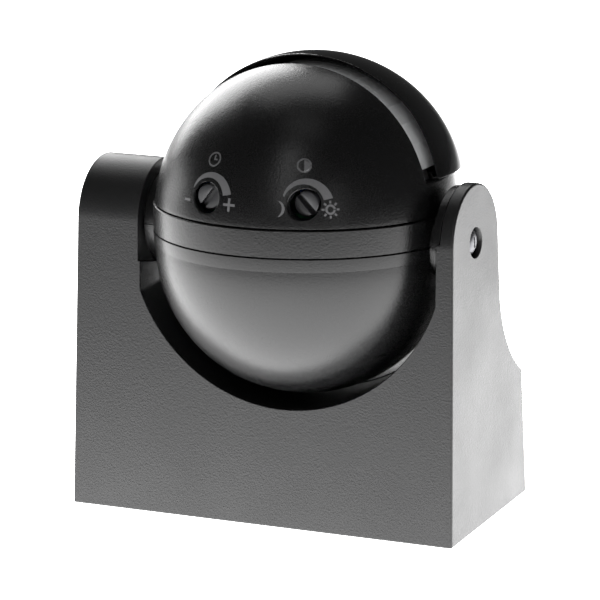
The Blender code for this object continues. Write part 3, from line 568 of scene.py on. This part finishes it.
def make_cradle(mats):
    cradle = plate(side_outline(0.0, RIM_Z), "X", -50.0, 50.0, "cradle")
    common(cradle, plate(front_outline(0.0, -1.0, 90.0), "Y", -40.0, 40.0))
    rounded(cradle, CRADLE_EDGE)
    cut(cradle, well_space())
    hinge = (HINGE_Y, HINGE_Z)
    front_y = HINGE_Y - EAR_RADIUS
    for face, pocket, drop in ((LEFT_FACE + 1.0, LEFT_POCKET, LEFT_POCKET_DROP),
                               (RIGHT_FACE - 1.0, RIGHT_POCKET, RIGHT_POCKET_DROP)):
        near, far = sorted((face, pocket))
        floor = [(y, HINGE_Z - drop - POCKET_SLOPE * (y - front_y)) for y in (-30.0, 30.0)]
        cut(cradle, plate(floor + [(30.0, 95.0), (-30.0, 95.0)], "X", near, far))
    rounded(cradle, INNER_EDGE, 2, 42.0)
    cut(cradle, socket_space())
    # Known fault: these two end flush with the pockets, and the cut takes no material away.
    cut(cradle, rod((LEFT_FACE + 1.0, *hinge), (LEFT_POCKET, *hinge), LEFT_BOSS_RADIUS + GAP),
        rod((RIGHT_FACE - 1.0, *hinge), (RIGHT_POCKET, *hinge), RIGHT_BOSS_RADIUS + GAP))
    flare = [(0.0, 8.0), (SCREW_RECESS_RADIUS + 0.35, 8.0), (SCREW_RECESS_RADIUS + 0.35, 2.27),
             (SCREW_RECESS_RADIUS, 1.92), (SCREW_RECESS_RADIUS, 0.0), (0.0, 0.0)]
    along_x = Matrix.Translation((SCREW_SEAT_X, *hinge)) @ Matrix.Rotation(math.radians(90.0), 4, "Y")
    cut(cradle, turned(flare, along_x, ROUND_SIDES, "recess"))

    cavity = plate(side_outline(WALL, -2.0), "X", -48.0, 48.0)
    common(cavity, plate(front_outline(WALL, -3.0, 90.0), "Y", -38.0, 38.0))
    kept = well_outline(WALL, LEFT_POCKET - WALL, RIGHT_FACE + WALL)
    cut(cavity, plate(kept, "Y", -46.0, 46.0))
    cut(cradle, cavity)
    cut(cradle, rod((-40.0, *hinge), (-20.0, *hinge), TRUNNION_RADIUS + GAP),
        rod((38.0, *hinge), (50.0, *hinge), PIN_HOLE, 48))
    finish_piece(cradle, "cradle", ROW, "base", mats["cradle"], ["base_housing"])


def make_clamp_screw(mats):
    """Pan-head screw in the right ear, with a tapering cross recess."""
    seat = SCREW_SEAT_X + GAP
    along_x = Matrix.Translation((seat, HINGE_Y, HINGE_Z)) @ Matrix.Rotation(math.radians(90.0), 4, "Y")
    head_radius = SCREW_RECESS_RADIUS - GAP
    pan = [(0.0, 1.5), (0.7, 1.48), (1.4, 1.4), (2.0, 1.22), (2.5, 0.92), (2.8, 0.6), (head_radius, 0.3),
           (head_radius, 0.0), (CLAMP_SHANK, 0.0), (CLAMP_SHANK, -9.0), (1.1, -9.4), (0.0, -9.4)]
    screw = turned(pan, along_x, 64, "clamp_screw_head")
    for turn in (0.0, 90.0):
        bm = bmesh.new()
        bmesh.ops.create_cone(bm, cap_ends=True, segments=4, radius1=0.35, radius2=2.2, depth=1.6)
        bmesh.ops.rotate(bm, verts=bm.verts, matrix=Matrix.Rotation(math.radians(45.0), 3, "Z"))
        bmesh.ops.scale(bm, vec=(1.0, 0.24, 1.0), verts=bm.verts)
        spin = Matrix.Rotation(math.radians(turn), 4, "Z")
        bm.transform(along_x @ Matrix.Translation((0, 0, 1.1)) @ spin)
        cut(screw, add("cross", bm))
    finish_piece(screw, "clamp_screw_head", ROW, "clamp_screw", mats["zinc"], ["clamp_screw"])


# ---------------------------------------------------------------- head shells

def sphere_profile(radius, centre_z, top_angle, end_z, steps):
    """Points down the outside of a ball, from an angle above the equator to a height."""
    low = math.degrees(math.asin((end_z - centre_z) / radius))
    return [(max(r, 0.0), z) for r, z in arc((0.0, centre_z), radius, top_angle, low, steps)]


def boss_solid(side, lower):
    """Half of a hinge boss, above or below the parting plane, still without its bore."""
    if side == "left":
        boss = rod((-BOSS_ROOT, 0, 0), (LEFT_BOSS_END, 0, 0), LEFT_BOSS_RADIUS)
        rounded(boss, SHELL_EDGE)
    else:
        disc_start = RIGHT_NECK_END + (0.7 if lower else 0.0)
        boss = rod((BOSS_ROOT, 0, 0), (disc_start + 0.6, 0, 0), RIGHT_NECK_RADIUS)
        disc = rod((disc_start, 0, 0), (RIGHT_BOSS_END, 0, 0), RIGHT_BOSS_RADIUS)
        rounded(disc, SHELL_EDGE)
        join(boss, disc)
    plane = PARTING_Z - SEAM / 2 if lower else PARTING_Z + SEAM / 2
    low, high = (plane, 40.0) if lower else (-40.0, plane)
    return cut(boss, box((-50.0, -20.0, low), (50.0, 20.0, high)))


def add_bosses(shell, lower):
    for side in ("left", "right"):
        join(shell, boss_solid(side, lower))
    cut(shell, rod((-20.0, 0, 0), (-40.0, 0, 0), TRUNNION_RADIUS + GAP),
        rod((20.0, 0, 0), (40.0, 0, 0), PIN_HOLE, 48), box((30.0, -3.5, -3.5), (33.0, 3.5, 3.5)))
    return shell


def make_band(mats):
    """Upper housing: the band between the dome cover and the bowl."""
    top = SEAM_Z - SEAM / 2
    bottom = PARTING_Z + SEAM / 2
    inner = BAND_RADIUS - BAND_WALL
    edge = SHELL_EDGE
    profile = [(SPIGOT_OUTSIDE, top + SPIGOT_HEIGHT), (SPIGOT_OUTSIDE, top), (BAND_RADIUS - edge, top),
               (BAND_RADIUS - 0.06, top - 0.07), (BAND_RADIUS, top - edge),
               (BAND_RADIUS - 0.1, bottom + 0.12), (BAND_RADIUS - 0.22, bottom),
               (inner, bottom), (inner, SHELF_LOW_Z),
               (SHELF_RADIUS, SHELF_LOW_Z), (SHELF_RADIUS, SHELF_HIGH_Z),
               (SPIGOT_INSIDE, SHELF_HIGH_Z), (SPIGOT_INSIDE, top + SPIGOT_HEIGHT)]
    ring = turned(profile, name="head_band")
    for x in (-30.1, 20.6):
        cut(ring, box((x, -8.0, 3.0), (x + 9.5, 8.0, 9.0)))
    add_bosses(ring, False)
    for x, y in BOWL_SCREW_SPOTS:
        join(ring, rod((x, y, bottom + 0.1), (x, y, 5.5), 3.6, 32))
        cut(ring, rod((x, y, -2.0), (x, y, 4.4), 1.4, 24))
    for x, y in BOARD_SCREW_SPOTS:
        join(ring, rod((x, y, 2.0), (x, y, 5.9), 2.4, 32))
        cut(ring, rod((x, y, 0.0), (x, y, 8.0), 1.3, 24))
    finish_piece(ring, "head_band", HEAD, "head", mats["head"], ["upper_housing"])


def make_dome(mats):
    foot = SEAM_Z + SEAM / 2
    outer = sphere_profile(DOME_RADIUS, DOME_Z, 90.0, foot + 0.15, 64)
    inner = sphere_profile(DOME_RADIUS - SHELL, DOME_Z, 90.0, foot, 48)
    low_edge = [(outer[-1][0] - 0.05, foot + 0.05), (outer[-1][0] - 0.18, foot)]
    dome = turned(outer + low_edge + inner[::-1], name="head_dome")
    window = [(WINDOW_Y, LEDGE_Z), (60.0, LEDGE_Z), (60.0, 50.0),
              (WINDOW_Y + WINDOW_SLOPE * (50.0 - LEDGE_Z), 50.0)]
    cut(dome, plate(window, "X", -45.0, 45.0))
    inside = BOSS_ROOT - GAP
    for sign, radius in ((-1, LEFT_BOSS_RADIUS), (1, RIGHT_NECK_RADIUS)):
        cut(dome, rod((sign * inside, 0, 0), (sign * 40.0, 0, 0), radius + SEAM))
    for dial in DIALS.values():
        cut(dome, rod((dial["x"], -45.0, DIAL_Z), (dial["x"], -20.0, DIAL_Z), DIAL_HOLE_RADIUS))
    rounded(dome, SHELL_EDGE, 2, 45.0, 0.06)
    finish_piece(dome, "head_dome", HEAD, "head", mats["head"], ["dome_cover"])


def make_hood(mats):
    foot = LEDGE_Z + GAP
    local = foot - HOOD_Z
    outer = sphere_profile(HOOD_RADIUS, 0.0, 90.0, local, 56)
    inner = sphere_profile(HOOD_RADIUS - HOOD_SHELL, 0.0, 90.0, local, 48)
    hood = turned(outer + inner[::-1], Matrix.Translation((0.0, HOOD_Y, HOOD_Z)), name="lens_hood")
    floor = rod((0, HOOD_Y, foot), (0, HOOD_Y, foot + HOOD_FLOOR), HOOD_FLOOR_RADIUS, BALL_SIDES)
    cut(floor, rod((0, 0, 0.0), (0, 0, 30.0), HOOD_OPENING_RADIUS, BALL_SIDES))
    join(hood, floor)
    for x in (-TAB_X, TAB_X):
        join(hood, box((x - TAB_HALF_WIDTH, TAB_FRONT_Y, TAB_LOW_Z),
                       (x + TAB_HALF_WIDTH, TAB_BACK_Y, foot + 0.8)))
    upright = HOOD_RIM_Y + HOOD_RIM_SLOPE * (HOOD_RIM_BEND - LEDGE_Z)
    front = [(-60.0, 0.0), (HOOD_RIM_Y - HOOD_RIM_SLOPE * LEDGE_Z, 0.0), (upright, HOOD_RIM_BEND),
             (upright, 60.0), (-60.0, 60.0)]
    cut(hood, plate(front, "X", -45.0, 45.0))
    inside = HOOD_RADIUS - HOOD_SHELL
    lip = [(math.sqrt(HOOD_RADIUS ** 2 - depth ** 2) - HOOD_LIP, depth) for depth in LIP_DEPTHS]
    core = inside - LIP_CUTTER_WALL
    taper = [(core, LIP_START), (inside, LIP_START)] + lip + [(core, LIP_DEPTHS[-1])]
    along_y = Matrix.Translation((0.0, HOOD_Y, HOOD_Z)) @ Matrix.Rotation(math.radians(-90.0), 4, "X")
    cut(hood, turned(taper, along_y, BALL_SIDES, "lip_taper"))
    rounded(hood, 0.1, 2, 42.0, 0.04)
    finish_piece(hood, "lens_hood", HEAD, "head", mats["hood"], ["hood"])


FIELD_ANGLE = 9.1               # each of the lens's fields, the middle one centred on top
LENS_RAYS = [(i - 6.5) * FIELD_ANGLE for i in range(14)]
LENS_ROWS = (4.4,)
RIDGE = 0.28                    # half width of the ridges between the lens's fields
RIDGE_HEIGHT = 0.09


def make_lens(mats):
    """The arched strip: the lens fields pressed in it meet in low ridges."""
    around, along = 360, 90
    bm = bmesh.new()

    def ridge(distance):
        return RIDGE_HEIGHT * math.exp(-(distance / RIDGE) ** 2 * 2.0)

    def radius_at(angle, y, outer):
        if not outer:
            return LENS_RADIUS - LENS_SHEET
        ray = min(abs(angle - ray) for ray in LENS_RAYS) * math.radians(LENS_RADIUS)
        row = min(abs(y - row) for row in LENS_ROWS)
        return LENS_RADIUS - RIDGE_HEIGHT + max(ridge(ray), ridge(row))

    layers = []
    for outer in (True, False):
        grid = []
        for i in range(around + 1):
            angle = -LENS_HALF_ANGLE + 2 * LENS_HALF_ANGLE * i / around
            a = math.radians(angle)
            rise = HOOD_Z + LENS_RADIUS * math.cos(a) - LEDGE_Z
            front = WINDOW_Y + SEAM + WINDOW_SLOPE * rise
            line = []
            for j in range(along + 1):
                y = front + (LENS_BACK - front) * j / along
                radius = radius_at(angle, y, outer)
                line.append(bm.verts.new((radius * math.sin(a), y, HOOD_Z + radius * math.cos(a))))
            grid.append(line)
        layers.append(grid)
    for grid in layers:
        for a, b in zip(grid, grid[1:]):
            for j in range(along):
                bm.faces.new((a[j], a[j + 1], b[j + 1], b[j]))
    top, under = layers
    rims = [(top[0], under[0]), (top[-1], under[-1])]
    rims += [([line[end] for line in top], [line[end] for line in under]) for end in (0, -1)]
    for a, b in rims:
        for j in range(len(a) - 1):
            bm.faces.new((a[j], a[j + 1], b[j + 1], b[j]))
    finish_piece(add("strip_lens", bm), "strip_lens", HEAD, "head", mats["lens"], ["lens"])


def make_bowl(mats):
    top = PARTING_Z - SEAM / 2
    outer = [(RIM_TOP_RADIUS - 0.12, top), (RIM_TOP_RADIUS, top - 0.12),
             (RIM_STEP_RADIUS, RIM_STEP_Z + 0.06), (RIM_STEP_RADIUS - 0.06, RIM_STEP_Z)]
    outer += [(max(r, 0.0), z + BOWL_Z) for r, z in arc((0.0, 0.0), BOWL_RADIUS, -0.3, -90.0, 72)]
    inner = [(max(r, 0.0), z + BOWL_Z) for r, z in arc((0.0, 0.0), BOWL_RADIUS - SHELL, -90.0, -2.0, 48)]
    bowl = turned(outer + inner + [(30.2, top)], name="head_bowl")
    add_bosses(bowl, True)
    for x, y in BOWL_SCREW_SPOTS:
        post = rod((x, y, -30.0), (x, y, top - 0.2), 3.4, 48)
        ball = bmesh.new()
        bmesh.ops.create_uvsphere(ball, u_segments=96, v_segments=48, radius=BOWL_RADIUS - SHELL / 2)
        bmesh.ops.translate(ball, vec=(0, 0, BOWL_Z), verts=ball.verts)
        common(post, add("post_end", ball))
        join(bowl, post)
        tunnel = rod((x, y, -30.0), (x, y, -6.0), 2.7, 48)
        hole = rod((x, y, -8.0), (x, y, 3.0), 1.4, 24)
        cut(bowl, tunnel, hole)
    finish_piece(bowl, "head_bowl", HEAD, "head", mats["bowl"], ["lower_bowl"])


def make_knobs(mats):
    """Slotted trimmer knobs, each about its own joint's axis."""
    for name, dial in DIALS.items():
        depth = math.sqrt(DOME_RADIUS ** 2 - dial["x"] ** 2 - (DIAL_Z - DOME_Z) ** 2) - DIAL_RECESS
        length = depth + dial["pot"] - GAP
        profile = [(0.0, 0.0), (2.35, 0.0), (2.55, -0.06), (DIAL_RADIUS - 0.05, -0.22), (DIAL_RADIUS, -0.4),
                   (DIAL_RADIUS, -length), (0.0, -length)]
        slot_turn = Matrix.Rotation(math.radians(dial["slot"]), 4, "Y")
        facing = slot_turn @ Matrix.Rotation(math.radians(90), 4, "X")
        place = Matrix.Translation((dial["x"], -depth, DIAL_Z)) @ facing
        knob = turned(profile, ROW, 72, f"{name}_knob")
        cut(knob, box((-4.0, -0.55, -1.5), (4.0, 0.55, 1.0)))
        rounded(knob, 0.1, 2, 50.0)
        knob.data.transform(place)
        finish_piece(knob, f"{name}_knob", HEAD, f"{name}_dial", mats["dial"], [f"{name}_dial"])


# ---------------------------------------------------------------- markings

INK = 0.04                      # how far the printed marks stand proud
INK_ROOT = 0.05                 # how far they reach into the dome


def ribbon(first, second):
    """A strip between two lines of (u, v) points."""
    return list(zip(first, second))


def ring(radius, width, start=0.0, end=360.0, centre=(0.0, 0.0), steps=48):
    near, far = [arc(centre, radius + side * width / 2, start, end, steps) for side in (-1, 1)]
    return ribbon(near, far)


def bar(start, end, width, steps=6):
    """A straight stroke from start to end."""
    run = Vector(end) - Vector(start)
    side = Vector((-run.y, run.x)).normalized() * width / 2
    line = [Vector(start) + run * i / steps for i in range(steps + 1)]
    return ribbon([tuple(p - side) for p in line], [tuple(p + side) for p in line])


def swoosh():
    """The setting arc over a dial, growing wider clockwise."""
    start, end, steps = 156.0, 14.0, 48
    near = arc((0.0, 0.0), 4.35, start, end, steps)
    far = []
    for i in range(steps + 1):
        a = math.radians(start + (end - start) * i / steps)
        radius = 4.6 + 1.8 * (i / steps) ** 0.8
        far.append((radius * math.cos(a), radius * math.sin(a)))
    return ribbon(near, far)


def moon():
    """A crescent, its round side to the right."""
    return ribbon(arc((-1.25, 0.0), 1.95, -62.0, 62.0, 24), arc((-0.45, 0.0), 1.72, -88.0, 88.0, 24))


def sun():
    rays = [math.radians(45.0 * i) for i in range(8)]
    ends = [[(r * math.cos(a), r * math.sin(a)) for r in (1.25, 1.85)] for a in rays]
    marks = [bar(near, far, 0.42, 2) for near, far in ends]
    return [ring(0.85, 0.45)] + marks


def clock():
    return [ring(1.45, 0.36), bar((0.0, -0.15), (0.0, 0.95), 0.34), bar((-0.12, 0.0), (0.75, 0.0), 0.34)]


def brightness():
    """A disc whose right half is filled."""
    near, far = [arc((0.0, 0.0), radius, -90.0, 90.0, 24) for radius in (0.02, 1.3)]
    return [ring(1.4, 0.34), ribbon(near, far)]


def mark(name, mats, azimuth, elevation, strips):
    """Prints strips on the dome round a point, given as angles about the ball's centre."""
    a, e = math.radians(azimuth), math.radians(elevation)
    out = Vector((math.sin(a) * math.cos(e), -math.cos(a) * math.cos(e), math.sin(e)))
    across = Vector((math.cos(a), math.sin(a), 0.0))
    up = out.cross(across)
    centre = Vector((0.0, 0.0, DOME_Z))
    rows = 5
    bm = bmesh.new()
    for strip in strips:
        sheets = []
        for radius in (DOME_RADIUS + INK, DOME_RADIUS - INK_ROOT):
            sheet = []
            for first, second in strip:
                line = []
                for k in range(rows + 1):
                    u, v = [p + (q - p) * k / rows for p, q in zip(first, second)]
                    toward = (out * DOME_RADIUS + across * u + up * v).normalized()
                    line.append(bm.verts.new(centre + toward * radius))
                sheet.append(line)
            sheets.append(sheet)
        for sheet in sheets:
            for p, q in zip(sheet, sheet[1:]):
                for k in range(rows):
                    bm.faces.new((p[k], p[k + 1], q[k + 1], q[k]))
        top, root = sheets
        closing = [(top[0], root[0]), (top[-1], root[-1])]
        closing += [([line[k] for line in top], [line[k] for line in root]) for k in (0, -1)]
        for p, q in closing:
            for k in range(len(p) - 1):
                bm.faces.new((p[k], p[k + 1], q[k + 1], q[k]))
    bmesh.ops.remove_doubles(bm, verts=bm.verts, dist=0.002)
    finish_piece(add(name, bm), name, HEAD, "head", mats["print"])


def make_marks(mats):
    centres = {}
    for name, dial in DIALS.items():
        rise = (DIAL_Z - DOME_Z) / DOME_RADIUS
        reach = math.sqrt(DOME_RADIUS ** 2 - (DIAL_Z - DOME_Z) ** 2)
        centres[name] = (math.degrees(math.asin(dial["x"] / reach)), math.degrees(math.asin(rise)))
    time, lux = centres["time"], centres["lux"]
    label_rise = 14.6
    mark("time_arc", mats, *time, [swoosh()])
    mark("lux_arc", mats, *lux, [swoosh()])
    mark("time_symbol", mats, time[0] - 0.3, time[1] + label_rise, clock())
    mark("lux_symbol", mats, lux[0] + 0.3, lux[1] + label_rise, brightness())
    mark("minus_mark", mats, time[0] - 9.9, time[1] - 1.8, [bar((-0.9, 0.0), (0.9, 0.0), 0.5)])
    mark("plus_mark", mats, time[0] + 10.8, time[1] - 1.4,
         [bar((-1.4, 0.0), (-0.27, 0.0), 0.54), bar((0.27, 0.0), (1.4, 0.0), 0.54),
          bar((0.0, -1.4), (0.0, 1.4), 0.54)])
    mark("moon_mark", mats, lux[0] - 9.2, lux[1] - 1.5, [moon()])
    mark("sun_mark", mats, lux[0] + 10.1, lux[1] - 1.7, sun())


# ---------------------------------------------------------------- CAD pieces that stay

def dress_cad_nodes(mats):
    """Gives every CAD node the material of its slot in the record."""
    for part in frame["record"]["subparts"]:
        obj = frame["nodes"][part["node"]]
        obj.data.materials.clear()
        obj.data.materials.append(mats[part["material_slot"]])


# ---------------------------------------------------------------- floor, light and camera

CAMERA_YAW = 25.34
CAMERA_RISE = 15.53
CAMERA_ROLL = -1.56
CAMERA_DISTANCE = 0.86876
CAMERA_LENS = 243.2
CAMERA_AIM = Vector((0.00417, -0.006, 0.047))
GLOW_CENTRE = Vector((-0.05, 0.10, 0.0))
# Distance from the glow's centre in metres, and the light that the floor gives off there
GLOW_STOPS = ((0.10, 5.2), (0.24, 3.7), (0.38, 2.2), (0.52, 1.1), (0.80, 0.10))


def direction(azimuth, elevation):
    """A unit vector; azimuth 0 is the front (-Y) and 90 the right (+X)."""
    a, e = math.radians(azimuth), math.radians(elevation)
    return Vector((math.sin(a) * math.cos(e), -math.cos(a) * math.cos(e), math.sin(e)))


def make_camera():
    back = direction(CAMERA_YAW, CAMERA_RISE)
    yaw, roll = math.radians(CAMERA_YAW), math.radians(CAMERA_ROLL)
    right = Vector((math.cos(yaw), math.sin(yaw), 0.0))
    up = back.cross(right)
    x = right * math.cos(roll) + up * math.sin(roll)
    y = up * math.cos(roll) - right * math.sin(roll)
    data = bpy.data.cameras.new("camera")
    data.lens = CAMERA_LENS
    data.sensor_width = 36.0
    data.clip_start, data.clip_end = 0.05, 50.0
    camera = bpy.data.objects.new("camera", data)
    bpy.context.scene.collection.objects.link(camera)
    turn = Matrix((x, y, back)).transposed().to_4x4()
    camera.matrix_world = Matrix.Translation(CAMERA_AIM + back * CAMERA_DISTANCE) @ turn
    bpy.context.scene.camera = camera


def make_floor():
    """A pale floor, flat white to the camera, that glows: a painted pool of light, strongest near the glow's
    centre and fading with distance, which lights the sensor from below.
    """
    bm = bmesh.new()
    bmesh.ops.create_grid(bm, x_segments=1, y_segments=1, size=20.0)
    floor = add("floor", bm)
    floor.location.z = -0.0003
    mat, nodes, links, shader = new_material("pale_floor_painted_glow")
    place = node(nodes, "ShaderNodeTexCoord").outputs["Object"]
    links.new(spread(nodes, links, noise(nodes, links, place, 30.0), 0.5, 0.6), shader.inputs["Roughness"])
    shader.inputs["Base Color"].default_value = (0.8, 0.8, 0.8, 1.0)
    shader.inputs["Emission Color"].default_value = (1.0, 1.0, 1.0, 1.0)

    reach = node(nodes, "ShaderNodeVectorMath", operation="DISTANCE")
    reach.inputs[1].default_value = GLOW_CENTRE
    links.new(place, reach.inputs[0])
    pool = node(nodes, "ShaderNodeValToRGB")
    largest, strongest = GLOW_STOPS[-1][0], GLOW_STOPS[0][1]
    ramp = pool.color_ramp
    for position, _ in GLOW_STOPS[1:-1]:
        ramp.elements.new(position / largest)
    for element, (position, glow) in zip(ramp.elements, GLOW_STOPS):
        element.position = position / largest
        element.color = (glow / strongest, glow / strongest, glow / strongest, 1.0)
    links.new(combine_values(nodes, links, "DIVIDE", reach.outputs["Value"], largest), pool.inputs["Fac"])
    given = combine_values(nodes, links, "MULTIPLY", pool.outputs["Color"], strongest)
    seen = node(nodes, "ShaderNodeLightPath").outputs["Is Camera Ray"]
    # The emission is a painted pool of light given off by the floor itself, not by a lamp.
    links.new(combine_values(nodes, links, "MAXIMUM", given, seen), shader.inputs["Emission Strength"])
    mat.cycles.emission_sampling = "NONE"
    floor.data.materials.append(mat)


def softbox(name, azimuth, elevation, distance, width, height, radiance):
    """An area light that faces the sensor and isn't seen itself."""
    data = bpy.data.lights.new(name, "AREA")
    data.shape = "RECTANGLE"
    data.size = width
    data.size_y = height
    data.energy = radiance * math.pi * width * height
    light = bpy.data.objects.new(name, data)
    bpy.context.scene.collection.objects.link(light)
    aim = Vector((0.0, 0.0, 0.06))
    out = direction(azimuth, elevation)
    light.location = aim + out * distance
    light.rotation_mode = "QUATERNION"
    light.rotation_quaternion = out.to_track_quat("Z", "Y")
    light.visible_camera = False
    return light


def make_world():
    """A nearly dark room, whose backdrop is flat white to the camera alone."""
    world = bpy.data.worlds.new("studio")
    world.use_nodes = True
    bpy.context.scene.world = world
    nodes, links = world.node_tree.nodes, world.node_tree.links
    room = nodes["Background"]
    room.inputs["Color"].default_value = (1.0, 1.0, 1.0, 1.0)
    room.inputs["Strength"].default_value = 0.06
    backdrop = nodes.new("ShaderNodeBackground")
    backdrop.inputs["Color"].default_value = (1.0, 1.0, 1.0, 1.0)
    backdrop.inputs["Strength"].default_value = 1.0
    seen = nodes.new("ShaderNodeLightPath")
    mix = nodes.new("ShaderNodeMixShader")
    links.new(seen.outputs["Is Camera Ray"], mix.inputs["Fac"])
    links.new(room.outputs["Background"], mix.inputs[1])
    links.new(backdrop.outputs["Background"], mix.inputs[2])
    links.new(mix.outputs["Shader"], nodes["World Output"].inputs["Surface"])


def make_lights():
    softbox("back_left_softbox", -133.0, 22.0, 1.1, 0.7, 0.75, 5.2)
    softbox("back_top_softbox", -150.0, 58.0, 1.1, 0.75, 0.6, 1.3)
    softbox("left_softbox", -96.0, 3.0, 1.1, 0.5, 0.3, 2.6)
    softbox("overhead_softbox", 20.0, 80.0, 1.2, 0.45, 0.45, 0.35)
    softbox("front_strip", 8.0, 38.0, 1.3, 0.2, 1.1, 1.9)
    softbox("right_strip", 46.0, 20.0, 1.3, 0.12, 0.5, 1.6)


# ---------------------------------------------------------------- build

materials = make_materials()
make_camera()
dress_cad_nodes(materials)
make_cradle(materials)
make_clamp_screw(materials)
make_band(materials)
make_dome(materials)
make_hood(materials)
make_lens(materials)
make_bowl(materials)
make_knobs(materials)
make_marks(materials)
make_floor()
make_world()
make_lights()
bpy.context.scene.view_settings.view_transform = "Standard"
